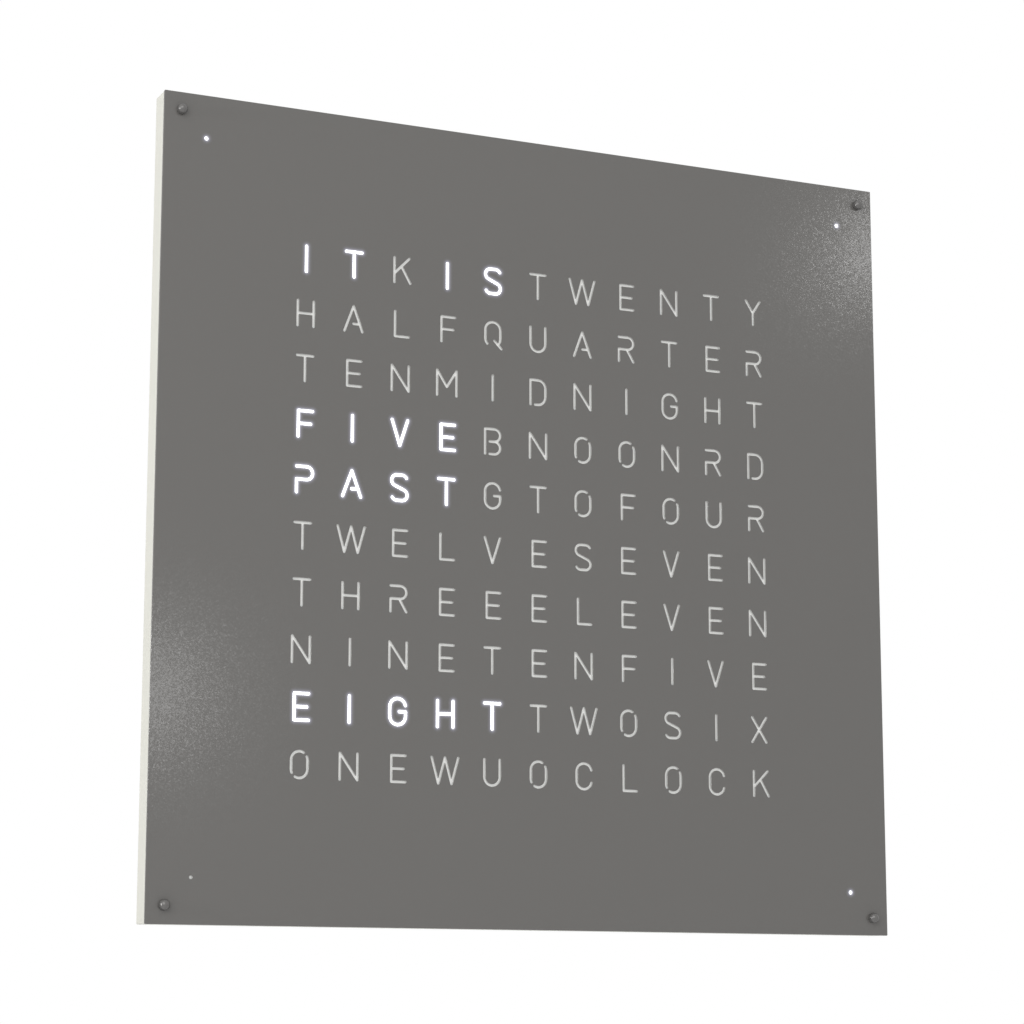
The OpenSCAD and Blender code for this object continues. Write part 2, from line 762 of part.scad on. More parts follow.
module light_sensor() color("black")
  sheet(y_board - sensor_h, y_board)
    translate(cell(rows - 1, cols - 1) - [sensor_offset, 0]) square(sensor_w, center = true);

// The LED drivers sit on the back of the LED board, in the window of the floor
module led_drivers() color("black")
  sheet(y_floor, y_floor + chip_h) for (i = [-1.5 : 1.5])
    translate([i * driver_pitch, bay_z - driver_drop]) square([driver_l, driver_w], center = true);

module sheet_screws() color("silver") {
  reach = y_floor + insert_h - blind_web - sheet_screw_seat;
  for (p = sheet_screw_spots)
    pan_screw(p, sheet_screw_seat, reach, screw_d, screw_head_d, screw_head_h, -1);
}

module threaded_inserts() color("gold") for (p = sheet_screw_spots) difference() {
  bar(p, y_floor, y_floor + insert_h, insert_r);
  bar(p, y_floor - cuts, y_floor + insert_h + cuts, screw_d / 2 + screw_gap);
}

// The rear frame lies flat on the wall and carries the bay, the inlet and the hangers
module rear_frame() color("black") difference() {
  sheet(y_body_back, 0) difference() {
    plate(2 * [half_frame, half_frame], frame_corner_r);
    translate([0, bay_z]) square([bay_w, bay_h], center = true);
    translate([-recess_w / 2, -half_frame - cuts]) square([recess_w, inlet_rise + cuts]);
    translate([-inlet_w / 2 - inlet_gap, inlet_z - cuts])
      square([inlet_w + 2 * inlet_gap, inlet_l + inlet_gap + cuts]);
  }
  sheet(-plate_t, cuts) translate([0, bay_z])
    square([bay_w, bay_h] + 2 * [rebate_w, rebate_w], center = true);
  sheet(-bracket_t, cuts) bracket_shape(0);
  block(
    [-passage_w / 2, y_body_back - cuts, inlet_z + inlet_l - cuts],
    [passage_w / 2, -plate_t, bay_z - bay_h / 2 + cuts]
  );
  for (p = hanger_spots) {
    hanger_relief(p, -hanger_t);
    sheet(-hanger_t, cuts) translate(p + [0, hanger_mid])
      square([hanger_w, hanger_l] + 2 * [plate_gap, plate_gap], center = true);
  }
  for (p = frame_screw_spots) flat_screw_hole(p, 0, frame_t + cuts, screw_d, screw_head_d);
  for (p = concat(bay_screw_spots, hanger_screw_spots, inlet_screw_spots))
    bar(p, y_body_back + blind_web, 0, small_d / 2 + screw_gap);
}

module frame_screws() color("dimgray")
  for (p = frame_screw_spots)
    flat_screw(p, 0, frame_t + floor_t - 2 * blind_web, screw_d, screw_head_d);

module bay_cover() color("lightgray") difference() {
  sheet(-plate_t, 0) translate([0, bay_z])
    square([bay_w, bay_h] + 2 * (rebate_w - plate_gap) * [1, 1], center = true);
  for (p = bay_screw_spots) flat_screw_hole(p, 0, plate_t + cuts, small_d, small_head_d);
}

module bay_cover_screws() color("dimgray")
  for (p = bay_screw_spots) flat_screw(p, 0, frame_t - 2 * blind_web, small_d, small_head_d);

module control_board() color("seagreen")
  sheet(y_ledge, y_pcb) difference() {
    translate([0, bay_z]) square([bay_w, bay_h] - 2 * [sheet_gap, sheet_gap], center = true);
    for (p = board_screw_spots) translate(p) circle(small_d / 2 + screw_gap);
  }

module control_board_screws() color("silver") {
  reach = pcb_t + ledge_t - 2 * blind_web;
  for (p = board_screw_spots)
    pan_screw(p, y_pcb, reach, small_d, small_head_d, small_head_h, 1);
}

// The plug connection that joins the LED board to the control board
module board_link() color("black")
  sheet(y_floor, y_ledge) translate([0, bay_z + link_rise]) square([link_l, link_w], center = true);

module processor_chip() color("black")
  component([0, bay_z], [processor_w, processor_w], chip_h);

module clock_crystal() color("silver")
  component([crystal_offset, bay_z], [crystal_w, crystal_l], crystal_h);

module power_regulator() color("black")
  component([-crystal_offset, bay_z - power_drop], [regulator_w, regulator_w], regulator_h);

module capacitors() color("silver") for (i = [0, 1])
  bar(
    [crystal_offset + i * capacitor_pitch, bay_z - power_drop],
    y_pcb, y_pcb + capacitor_h, capacitor_r
  );

module coin_cell_holder() color("black") difference() {
  size = 2 * (cell_r + holder_wall);
  at = [-holder_offset, bay_z];
  rim = holder_base_t + cell_t + holder_lip;
  component(at, [size, size], rim);
  bar(at, y_pcb + holder_base_t, y_pcb + rim + cuts, cell_r + 2 * screw_gap);
}

module coin_cell() color("silver")
  bar([-holder_offset, bay_z], y_pcb + holder_base_t, y_pcb + holder_base_t + cell_t, cell_r);

module radio_receiver() color("seagreen")
  component([receiver_offset, bay_z + receiver_rise], [receiver_w, receiver_l], receiver_h);

// The ferrite rod lies along the top of the control board
module antenna_rod() color("dimgray")
  cross_bar(antenna_y, antenna_z, -antenna_l / 2, antenna_l / 2, antenna_r);

module antenna_clips() color("white") for (s = [-1, 1]) difference() {
  component(
    [s * (antenna_l / 2 - clip_w), antenna_z],
    [clip_w, 2 * (antenna_r + clip_wall)],
    antenna_lift + antenna_r + clip_rise
  );
  cross_bar(antenna_y, antenna_z, -antenna_l, antenna_l, antenna_r + screw_gap);
}

module power_terminal() color("green")
  component([0, terminal_z + terminal_l / 2], [terminal_w, terminal_l], terminal_h);

module inlet_leads() color("red") for (s = [-1, 1])
  translate([s * lead_pitch / 2, y_pcb + terminal_h / 2, inlet_z + inlet_l])
    cylinder(h = terminal_z - inlet_z - inlet_l, r = lead_r);

module power_inlet() color("black") difference() {
  block([-inlet_w / 2, inlet_back - inlet_d, inlet_z], [inlet_w / 2, inlet_back, inlet_z + inlet_l]);
  translate([0, inlet_y, inlet_z - cuts]) cylinder(h = inlet_bore_l + cuts, r = inlet_bore_r);
}

module inlet_pin() color("silver")
  translate([0, inlet_y, inlet_z + pin_recess])
    cylinder(h = inlet_bore_l - pin_recess, r = inlet_pin_r);

// The bracket's outline, made smaller all round by a gap
module bracket_shape(gap)
  translate([-bracket_w / 2 + gap, inlet_z - bracket_over + gap])
    square([bracket_w, inlet_l + 2 * bracket_over] - 2 * [gap, gap]);

module inlet_bracket() color("lightgray") difference() {
  sheet(-bracket_t, 0) bracket_shape(plate_gap);
  for (p = inlet_screw_spots) flat_screw_hole(p, 0, bracket_t + cuts, small_d, small_head_d);
}

module inlet_screws() color("dimgray")
  for (p = inlet_screw_spots) flat_screw(p, 0, frame_t - 2 * blind_web, small_d, small_head_d);

module button_board() color("seagreen") difference() {
  block(
    [button_board_x, button_y - button_board_w / 2, bay_z - button_board_l / 2],
    [switch_x, button_y + button_board_w / 2, bay_z + button_board_l / 2]
  );
  for (z = button_screws)
    cross_bar(button_y, z, button_board_x - cuts, switch_x + cuts, small_d / 2 + screw_gap);
}

module button_board_screws() color("silver") for (z = button_screws) {
  cross_bar(button_y, z, button_board_x - small_head_h, button_board_x, small_head_d / 2);
  cross_bar(button_y, z, button_board_x, switch_x + button_screw_l - blind_web, small_d / 2);
}

module button_switches() color("black") for (z = buttons) difference() {
  block(
    [switch_x, button_y - switch_w / 2, z - switch_w / 2],
    [switch_x + switch_h, button_y + switch_w / 2, z + switch_w / 2]
  );
  face = switch_x + switch_h;
  hole = plunger_foot + button_travel + plunger_spare;
  cross_bar(button_y, z, face - hole, face + cuts, plunger_r + button_gap);
}

module plunger(z) color("white")
  cross_bar(button_y, z, switch_x + switch_h - plunger_foot, switch_x + switch_h + plunger_h, plunger_r);

module button(z) color("silver") {
  back = switch_x + switch_h + plunger_h;
  cross_bar(button_y, z, back, back + collar_t, collar_r);
  cross_bar(button_y, z, back + collar_t, half_body - button_recess, button_r);
}

// The flat cable runs under the LED board and turns up the back of the button board
module button_cable() color("white") {
  block(
    [socket_x, cable_y, bay_z - cable_w / 2],
    [button_board_x, cable_y + cable_t, bay_z + cable_w / 2]
  );
  block(
    [button_board_x - cable_t, button_y, bay_z - cable_w / 2],
    [button_board_x, cable_y + cable_t, bay_z + cable_w / 2]
  );
}

module cable_socket() color("white") block(
  [socket_x - socket_l, cable_y - inlet_gap, bay_z - cable_w / 2 - socket_margin],
  [socket_x, y_ledge, bay_z + cable_w / 2 + socket_margin]
);

module hanger_plates() color("silver") difference() {
  sheet(-hanger_t, 0) for (p = hanger_spots) translate(p) difference() {
    translate([0, hanger_mid]) square([hanger_w, hanger_l], center = true);
    circle(keyhole_r);
    translate([-neck_w / 2, 0]) square([neck_w, neck_rise]);
    translate([0, neck_rise]) circle(d = neck_w);
  }
  for (p = hanger_screw_spots) flat_screw_hole(p, 0, hanger_t + cuts, small_d, small_head_d);
}

module hanger_screws() color("dimgray")
  for (p = hanger_screw_spots) flat_screw(p, 0, frame_t - 2 * blind_web, small_d, small_head_d);

front_cover();
corner_ball(-1, 1);  // ball_top_left
corner_ball(1, 1);  // ball_top_right
corner_ball(-1, -1);  // ball_bottom_left
corner_ball(1, -1);  // ball_bottom_right
body_shell();
magnet_cups();
corner_magnets();
diffuser_sheet();
light_grid();
led_board();
letter_leds();
minute_leds();
light_sensor();
led_drivers();
sheet_screws();
threaded_inserts();
rear_frame();
frame_screws();
bay_cover();
bay_cover_screws();
control_board();
control_board_screws();
board_link();
processor_chip();
clock_crystal();
power_regulator();
capacitors();
coin_cell_holder();
coin_cell();
radio_receiver();
antenna_rod();
antenna_clips();
power_terminal();
inlet_leads();
power_inlet();
inlet_pin();
inlet_bracket();
inlet_screws();
button_board();
button_board_screws();
button_switches();
button_cable();
cable_socket();
button(buttons[2]);  // button_set
button(buttons[1]);  // button_up
button(buttons[0]);  // button_down
plunger(buttons[2]);  // plunger_set
plunger(buttons[1]);  // plunger_up
plunger(buttons[0]);  // plunger_down
hanger_plates();
hanger_screws();
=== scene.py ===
"""Looks of a square wall clock that tells the time in lit words.

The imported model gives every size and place. This script adds the finishes, the fine meshes, the studio and the
camera. Lengths are metres unless a name ends in _mm.
"""
from __future__ import annotations

import json
import logging
import math
from dataclasses import dataclass, field
from enum import Enum
from itertools import pairwise
from typing import Callable, Iterable

import bmesh
import bpy
from mathutils import Matrix, Vector
from mathutils.geometry import delaunay_2d_cdt


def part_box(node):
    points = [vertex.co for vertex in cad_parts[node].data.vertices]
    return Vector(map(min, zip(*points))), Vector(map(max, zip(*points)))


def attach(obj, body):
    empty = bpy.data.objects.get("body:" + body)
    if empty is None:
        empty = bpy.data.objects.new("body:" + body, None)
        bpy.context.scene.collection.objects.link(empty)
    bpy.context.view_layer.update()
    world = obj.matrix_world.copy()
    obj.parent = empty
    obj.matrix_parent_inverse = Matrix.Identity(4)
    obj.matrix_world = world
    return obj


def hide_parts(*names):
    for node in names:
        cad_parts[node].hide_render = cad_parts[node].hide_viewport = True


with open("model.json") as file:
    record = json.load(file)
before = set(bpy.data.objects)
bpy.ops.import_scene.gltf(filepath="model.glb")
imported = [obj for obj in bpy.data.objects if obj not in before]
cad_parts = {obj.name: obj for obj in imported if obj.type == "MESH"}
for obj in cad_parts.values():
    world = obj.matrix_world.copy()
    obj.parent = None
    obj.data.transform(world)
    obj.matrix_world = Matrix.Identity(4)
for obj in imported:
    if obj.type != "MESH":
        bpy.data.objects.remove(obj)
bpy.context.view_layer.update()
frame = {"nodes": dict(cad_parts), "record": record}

LOG = logging.getLogger("word_clock")
MM = 0.001
JOIN = 2e-6  # points of a mesh that are nearer than this become one
FRONT, BACK = Vector((0.0, -1.0, 0.0)), Vector((0.0, 1.0, 0.0))
RIGHT, UP = Vector((1.0, 0.0, 0.0)), Vector((0.0, 0.0, 1.0))
WHITE = (1.0, 1.0, 1.0, 1.0)


# ---- Shader nodes ----

GRAIN_RATIO = 2.7  # how much smaller the fine bumps are than the coarse ones
SCRATCH_STRETCH = (0.02, 1.0, 1.0)  # scratches are fifty times as long as they are wide


class NodeBench:
    """Adds nodes to one node tree, sets their values and links them."""

    def __init__(self, tree: bpy.types.NodeTree) -> None:
        """Starts on an empty tree.

        Args:
            tree: The node tree of a material, a world or a group.
        """
        self.tree = tree
        tree.nodes.clear()

    def add(self, kind: str, values: dict | None = None, **settings) -> bpy.types.Node:
        """Adds one node.

        Args:
            kind: The node's type, without the word ShaderNode in front.
            values: Input names or numbers, each with a value or with the socket to link from.
            settings: Properties of the node itself.

        Returns:
            The new node.
        """
        node = self.tree.nodes.new("ShaderNode" + kind)
        for name, value in settings.items():
            setattr(node, name, value)
        for name, value in (values or {}).items():
            if isinstance(value, bpy.types.NodeSocket):
                self.tree.links.new(value, node.inputs[name])
            else:
                node.inputs[name].default_value = value
        return node

    def math(self, operation: str, *values) -> bpy.types.NodeSocket:
        """Adds a Math node and returns its result."""
        return self.add("Math", dict(enumerate(values)), operation=operation).outputs[0]

    def vector_math(self, operation: str, *values) -> bpy.types.NodeSocket:
        """Adds a Vector Math node and returns its result."""
        return self.add("VectorMath", dict(enumerate(values)), operation=operation).outputs[0]

    def noise(self, place, scale, detail: float) -> bpy.types.NodeSocket:
        """Adds a Noise texture and returns its level."""
        return self.add("TexNoise", {"Vector": place, "Scale": scale, "Detail": detail}).outputs[0]

    def mix(self, factor, first, second, blend: str = "MIX") -> bpy.types.NodeSocket:
        """Adds a colour Mix node and returns its result."""
        return self.add("Mix", {0: factor, 6: first, 7: second}, data_type="RGBA", blend_type=blend).outputs[2]

    def grey(self, level) -> bpy.types.NodeSocket:
        """Returns the grey of a level."""
        return self.add("CombineColor", {0: level, 1: level, 2: level}).outputs[0]

    def ramp(self, value, *stops: tuple[float, float]) -> bpy.types.NodeSocket:
        """Maps a value through straight steps from one (place, level) pair to the next."""
        node = self.add("ValToRGB", {0: value})
        elements = node.color_ramp.elements
        while len(elements) < len(stops):
            elements.new(1.0)
        for element, (place, level) in zip(elements, stops):
            element.position = place
            element.color = (level, level, level, 1.0)
        return node.outputs[0]

    def group(self, name: str, values: dict) -> bpy.types.NodeOutputs:
        """Places one of the shared effects and returns its outputs."""
        return self.add("Group", values, node_tree=EFFECTS[name]).outputs


def effect(fill: Callable, inputs: dict, outputs: dict) -> bpy.types.NodeTree:
    """Makes one shared effect as a node group.

    Args:
        fill: Builds the nodes. It takes the bench and the group's input sockets, and returns the output sockets.
        inputs: Each input's name with its default value: a number, a colour or a Vector.
        outputs: Each output's name with its type, in the same way.

    Returns:
        The node group, with the name of the function that fills it.
    """
    kinds = {float: "NodeSocketFloat", tuple: "NodeSocketColor", Vector: "NodeSocketVector"}
    tree = bpy.data.node_groups.new(fill.__name__, "ShaderNodeTree")
    for key, value in inputs.items():
        socket = tree.interface.new_socket(name=key, in_out="INPUT", socket_type=kinds[type(value)])
        socket.default_value = value
    for key, kind in outputs.items():
        tree.interface.new_socket(name=key, in_out="OUTPUT", socket_type=kinds[kind])
    result = fill(NodeBench(tree), tree.nodes.new("NodeGroupInput").outputs)
    last = tree.nodes.new("NodeGroupOutput")
    for key, socket in result.items():
        tree.links.new(socket, last.inputs[key])
    return tree


def fine_grain(bench: NodeBench, given) -> dict:
    """The pebbled skin of powder coat, cast plastic and lacquer: two sizes of bumps, as a height."""
    finer = bench.math("MULTIPLY", given["Scale"], GRAIN_RATIO)
    fine = bench.math("MULTIPLY", bench.noise(given["Vector"], finer, 1.0), given["Fine"])
    return {"Height": bench.math("ADD", bench.noise(given["Vector"], given["Scale"], 0.0), fine)}


def mottle(bench: NodeBench, given) -> dict:
    """Slow changes of tone over a surface, as a coat or a moulding has them."""
    cloud = bench.noise(given["Vector"], given["Scale"], 3.0)
    shift = bench.math("MULTIPLY", bench.math("SUBTRACT", cloud, 0.5), given["Amount"])
    return {"Color": bench.mix(1.0, given["Color"], bench.grey(bench.math("ADD", 1.0, shift)), "MULTIPLY")}


def brushing(bench: NodeBench, given) -> dict:
    """Fine parallel scratches along X, as a height and as a mask."""
    along = bench.add("Mapping", {"Vector": given["Vector"], "Scale": SCRATCH_STRETCH}).outputs[0]
    lines = bench.noise(along, given["Scale"], 4.0)
    return {"Height": lines, "Scratch": bench.ramp(lines, (0.35, 0.0), (0.7, 1.0))}


def dust(bench: NodeBench, given) -> dict:
    """Thin dust and finger marks, which dull the gloss in soft patches."""
    mask = bench.ramp(bench.noise(given["Vector"], given["Scale"], 5.0), (0.5, 0.0), (0.75, 1.0))
    return {"Roughness": bench.math("ADD", given["Roughness"], bench.math("MULTIPLY", mask, given["Amount"]))}


def facets(bench: NodeBench, given) -> dict:
    """Tiny facets, each turned a little at random like the flakes in a coat, so that single ones catch a lamp."""
    first = bench.add("TexVoronoi", {"Vector": given["Vector"], "Scale": given["Scale"]}).outputs["Color"]
    second = bench.add("TexWhiteNoise", {"Vector": first}).outputs["Color"]
    tilt = bench.vector_math("SUBTRACT", bench.vector_math("ADD", first, second), (1.0, 1.0, 1.0))
    small = bench.add("VectorMath", {0: tilt, "Scale": given["Tilt"]}, operation="SCALE").outputs[0]
    turned = bench.vector_math("ADD", bench.add("NewGeometry").outputs["Normal"], small)
    return {"Normal": bench.vector_math("NORMALIZE", turned)}


def make_effects() -> dict[str, bpy.types.NodeTree]:
    """Builds every shared effect once."""
    spot = Vector((0.0, 0.0, 0.0))
    trees = (
        effect(fine_grain, {"Vector": spot, "Scale": 800.0, "Fine": 0.4}, {"Height": float}),
        effect(mottle, {"Vector": spot, "Color": WHITE, "Scale": 8.0, "Amount": 0.1}, {"Color": tuple}),
        effect(brushing, {"Vector": spot, "Scale": 1500.0}, {"Height": float, "Scratch": float}),
        effect(dust, {"Vector": spot, "Roughness": 0.5, "Scale": 30.0, "Amount": 0.1}, {"Roughness": float}),
        effect(facets, {"Vector": spot, "Scale": 1100.0, "Tilt": 0.05}, {"Normal": Vector}),
    )
    return {tree.name: tree for tree in trees}


EFFECTS = make_effects()


# ---- Finishes ----


class Texture(Enum):
    """How a surface was worked."""

    COATED = "coated"
    LACQUERED = "lacquered"
    MOULDED = "moulded"
    BRUSHED = "brushed"
    PLATED = "plated"
    BOARD = "board"


# How strong the fine bumps are beside the coarse ones.
FINE_SHARES = {Texture.COATED: 0.5, Texture.LACQUERED: 0.1, Texture.MOULDED: 0.6, Texture.PLATED: 0.2}
MOTTLES_PER_M, DUST_PER_M, TRACE_BLOCKS_PER_M = 9.0, 25.0, 90.0
FLAKE_MM, TRACE_PITCH_MM = 0.58, 1.6
# How strongly scratches and traces show, and how much of a board has no traces.
SCRATCH_SHARE, TRACE_SHARE, BARE_SHARE = 0.25, 0.35, 0.35
TRACE_TINT = (0.6, 0.75, 0.6, 1.0)


@dataclass(frozen=True)
class Finish:
    """One finish: its colour in linear light, its gloss, and the size and depth of its grain."""

    slot: str
    colour: tuple[float, float, float]
    roughness: float
    texture: Texture = Texture.MOULDED
    metallic: float = 0.0
    grain_mm: float = 0.6
    depth_mm: float = 0.01
    mottle: float = 0.06
    dust: float = 0.08
    tilt: float = 0.0

    def surface(self, bench: NodeBench) -> dict:
        """Works out what changes over the surface.

        Args:
            bench: The material's bench.

        Returns:
            Sockets for the Principled shader's Base Color, Roughness and Normal.
        """
        place = bench.add("TexCoord").outputs["Object"]
        grain = 1.0 / (self.grain_mm * MM)
        whole = {"Vector": place, "Color": (*self.colour, 1.0), "Scale": MOTTLES_PER_M, "Amount": self.mottle}
        tone = bench.group("mottle", whole)["Color"]
        dusty = {"Vector": place, "Roughness": self.roughness, "Scale": DUST_PER_M, "Amount": self.dust}
        if self.texture is Texture.BRUSHED:
            lines = bench.group("brushing", {"Vector": place, "Scale": grain})
            height = lines["Height"]
            tone = bench.mix(bench.math("MULTIPLY", lines["Scratch"], SCRATCH_SHARE), tone, WHITE)
        elif self.texture is Texture.BOARD:
            height, tone = self.traces(bench, place, tone)
        else:
            fine = FINE_SHARES[self.texture]
            height = bench.group("fine_grain", {"Vector": place, "Scale": grain, "Fine": fine})["Height"]
        bump = {"Height": height, "Distance": self.depth_mm * MM, "Strength": 1.0}
        if self.tilt:
            flakes = {"Vector": place, "Scale": 1.0 / (FLAKE_MM * MM), "Tilt": self.tilt}
            bump["Normal"] = bench.group("facets", flakes)["Normal"]
        normal = bench.add("Bump", bump).outputs[0]
        return {"Base Color": tone, "Roughness": bench.group("dust", dusty)["Roughness"], "Normal": normal}

    def traces(self, bench: NodeBench, place, tone) -> tuple:
        """Draws copper traces under the solder mask: bands along X and Z that a coarse pattern switches between.

        Args:
            bench: The material's bench.
            place: Object coordinates.
            tone: The board's colour.

        Returns:
            The traces as a height, and the colour with them.
        """
        blocks = bench.add("TexVoronoi", {"Vector": place, "Scale": TRACE_BLOCKS_PER_M}, distance="CHEBYCHEV")
        turn = bench.math("GREATER_THAN", blocks.outputs["Color"], 0.5)
        split = bench.add("SeparateXYZ", {0: place})
        across = bench.add("Mix", {0: turn, 2: split.outputs["X"], 3: split.outputs["Z"]}, data_type="FLOAT")
        wave = bench.math("SINE", bench.math("MULTIPLY", across.outputs[0], math.tau / (TRACE_PITCH_MM * MM)))
        copper = bench.ramp(wave, (0.55, 0.0), (0.6, 1.0))
        mask = bench.math("MULTIPLY", copper, bench.math("GREATER_THAN", blocks.outputs["Distance"], BARE_SHARE))
        return mask, bench.mix(bench.math("MULTIPLY", mask, TRACE_SHARE), tone, TRACE_TINT)

    def build(self) -> bpy.types.Material:
        """Makes the material."""
        material = bpy.data.materials.new(self.slot)
        material.use_nodes = True
        bench = NodeBench(material.node_tree)
        shader = bench.add("BsdfPrincipled", {**self.surface(bench), "Metallic": self.metallic})
        self.special(bench, shader)
        bench.add("OutputMaterial", {"Surface": shader.outputs[0]})
        return material

    def special(self, bench: NodeBench, shader: bpy.types.Node) -> None:
        """Adds what only one finish has."""


@dataclass(frozen=True)
class GlowingCoat(Finish):
    """Powder coat with painted light: its slot walls get a lighter colour and a faint painted glow for the opal sheet's
    light on them, and a painted glow of haze lies round each lit opening.
    """

    # Painted light: the walls' lighter base colour and their faint emission stand in for the opal sheet's light falling
    # on them.
    wall_painted_light: tuple[float, float, float, float] = (0.42, 0.42, 0.41, 1.0)
    wall_painted_glow: tuple[float, float, float, float] = (0.105, 0.105, 0.102, 1.0)
    # Painted glow: a bluish emission on the coat round each lit opening, shaped by the haze ramp below.
    far_tint: tuple[float, float, float, float] = (0.62, 0.63, 1.0, 1.0)
    near_tint: tuple[float, float, float, float] = (0.84, 0.84, 1.0, 1.0)
    haze: tuple[tuple[float, float], ...] = (
        (0.0, 0.0),
        (0.32, 0.03),
        (0.52, 0.065),
        (0.72, 0.16),
        (0.86, 0.33),
        (1.0, 0.6),
    )

    def special(self, bench: NodeBench, shader: bpy.types.Node) -> None:
        """Paints glow on the coat by the mesh's own "glow" value, which is 1 at a lit edge and 0 where the painted haze
        ends, and paints light on the slot walls, white beside a lit opening.
        """
        near = bench.add("Attribute", attribute_name="glow").outputs["Fac"]
        tint = bench.mix(near, self.far_tint, self.near_tint)
        haze = bench.mix(1.0, bench.ramp(near, *self.haze), tint, "MULTIPLY")
        # Painted light on the slot walls: a lighter base colour, and emission that turns white next to a lit opening.
        wall = bench.add("Attribute", attribute_name="wall").outputs["Fac"]
        light = bench.mix(wall, haze, bench.mix(near, self.wall_painted_glow, WHITE))
        bench.tree.links.new(light, shader.inputs["Emission Color"])
        shader.inputs["Emission Strength"].default_value = 1.0
        coat = shader.inputs["Base Color"].links[0].from_socket
        bench.tree.links.new(bench.mix(wall, coat, self.wall_painted_light), shader.inputs["Base Color"])


@dataclass(frozen=True)
class LitOpal(Finish):
    """Opal sheet that glows where a light cell behind it is lit, with a faint painted glow all over it besides."""

    # Painted glow: the sheet emits this much even where no cell is lit, which brightens the unlit letters.
    painted_rest_glow: float = 0.135
    lit_level: float = 3.0
    rest_tint: tuple[float, float, float, float] = (0.97, 0.97, 0.96, 1.0)
    lit_tint: tuple[float, float, float, float] = (0.93, 0.95, 1.0, 1.0)

    def special(self, bench: NodeBench, shader: bpy.types.Node) -> None:
        """Lights the sheet by the mesh's own "lit" value, on top of a faint painted glow everywhere."""
        lit = bench.add("Attribute", attribute_name="lit").outputs["Fac"]
        level = bench.math("ADD", self.painted_rest_glow, bench.math("MULTIPLY", lit, self.lit_level))
        light = bench.mix(1.0, bench.mix(lit, self.rest_tint, self.lit_tint), bench.grey(level), "MULTIPLY")
        bench.tree.links.new(light, shader.inputs["Emission Color"])
        shader.inputs["Emission Strength"].default_value = 1.0


FINISHES = (
    GlowingCoat(
        "cover_coat",
        (0.144, 0.139, 0.132),
        0.125,
        Texture.COATED,
        grain_mm=1.0,
        depth_mm=0.004,
        mottle=0.02,
        dust=0.0,
        tilt=0.021,
    ),
    Finish("ball_coat", (0.145, 0.141, 0.137), 0.22, Texture.COATED, metallic=0.35, grain_mm=0.6, depth_mm=0.003),
    Finish("cream_lacquer", (0.675, 0.67, 0.602), 0.32, Texture.LACQUERED, grain_mm=2.5, depth_mm=0.012, mottle=0.03),
    LitOpal("opal_plastic", (0.80, 0.80, 0.78), 0.45, grain_mm=0.4, depth_mm=0.004, mottle=0.02),
    Finish("white_plastic", (0.78, 0.78, 0.77), 0.42),
    Finish("board_white", (0.74, 0.75, 0.74), 0.35, Texture.BOARD, depth_mm=0.03),
    Finish("board_green", (0.012, 0.12, 0.045), 0.32, Texture.BOARD, depth_mm=0.03),
    Finish("led_package", (0.80, 0.62, 0.16), 0.30),
    Finish("chip_black", (0.018, 0.018, 0.02), 0.48, grain_mm=0.25),
    Finish("plated_steel", (0.62, 0.63, 0.65), 0.28, Texture.PLATED, metallic=1.0),
    Finish("black_steel", (0.03, 0.03, 0.032), 0.38, Texture.PLATED, metallic=0.6),
    Finish("nickel_plate", (0.62, 0.59, 0.54), 0.16, Texture.PLATED, metallic=1.0, depth_mm=0.002),
    Finish("insert_brass", (0.66, 0.44, 0.15), 0.3, Texture.PLATED, metallic=1.0),
    Finish("black_plastic", (0.024, 0.024, 0.025), 0.42, grain_mm=1.1, depth_mm=0.05),
    Finish("brushed_plate", (0.55, 0.55, 0.56), 0.34, Texture.BRUSHED, metallic=1.0, grain_mm=0.35, depth_mm=0.006),
    Finish("can_aluminium", (0.68, 0.68, 0.69), 0.25, Texture.BRUSHED, metallic=1.0, grain_mm=0.3, depth_mm=0.004),
    Finish("ferrite", (0.035, 0.033, 0.032), 0.5, grain_mm=0.5, depth_mm=0.02),
    Finish("terminal_green", (0.03, 0.26, 0.10), 0.36),
    Finish("lead_red", (0.5, 0.02, 0.015), 0.34),
    Finish("cable_white", (0.72, 0.72, 0.70), 0.4),
    Finish("button_metal", (0.55, 0.55, 0.56), 0.3, Texture.BRUSHED, metallic=1.0, grain_mm=0.25, depth_mm=0.004),
)
MATERIALS = {finish.slot: finish.build() for finish in FINISHES}
SLOT_OF = {part["node"]: part["material_slot"] for part in frame["record"]["subparts"]}
BODY_OF = {node: body for body, nodes in frame["record"]["behaviour"]["bodies"].items() for node in nodes}


# ---- Meshes ----

# Faces that meet at less than the first become one, and edges that turn by more than the second are rounded.
FLAT_ANGLE, SHARP_ANGLE = math.radians(0.5), math.radians(35.0)


def piece(bm: bmesh.types.BMesh, name: str, node: str, slot: str | None = None) -> bpy.types.Object:
    """Turns a finished bmesh into a piece that stands for a CAD node.

    Args:
        bm: The mesh, in place in the frame. It is freed.
        name: The piece's name.
        node: The CAD node that it replaces and whose body it rides on.
        slot: The material slot, or None for the node's own.

    Returns:
        The new object.
    """
    mesh = bpy.data.meshes.new(name)
    bm.to_mesh(mesh)
    bm.free()
    made = bpy.data.objects.new(name, mesh)
    bpy.context.scene.collection.objects.link(made)
    slot = slot or SLOT_OF[node]
    mesh.materials.append(MATERIALS[slot])
    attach(made, BODY_OF[node])
    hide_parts(node)
    LOG.info("%s: %d faces for %s", name, len(mesh.polygons), node)
    return made


def settle_normals(made: bpy.types.Object) -> None:
    """Turns every vertex's normal to the largest faces round it, so that flats look flat beside a rounded edge."""
    mesh = made.data
    normals = [Vector() for _ in mesh.vertices]
    for face in mesh.polygons:
        face.use_smooth = True
        for index in face.vertices:
            normals[index] += face.area * face.normal
    mesh.normals_split_custom_set_from_vertices([normal.normalized() for normal in normals])


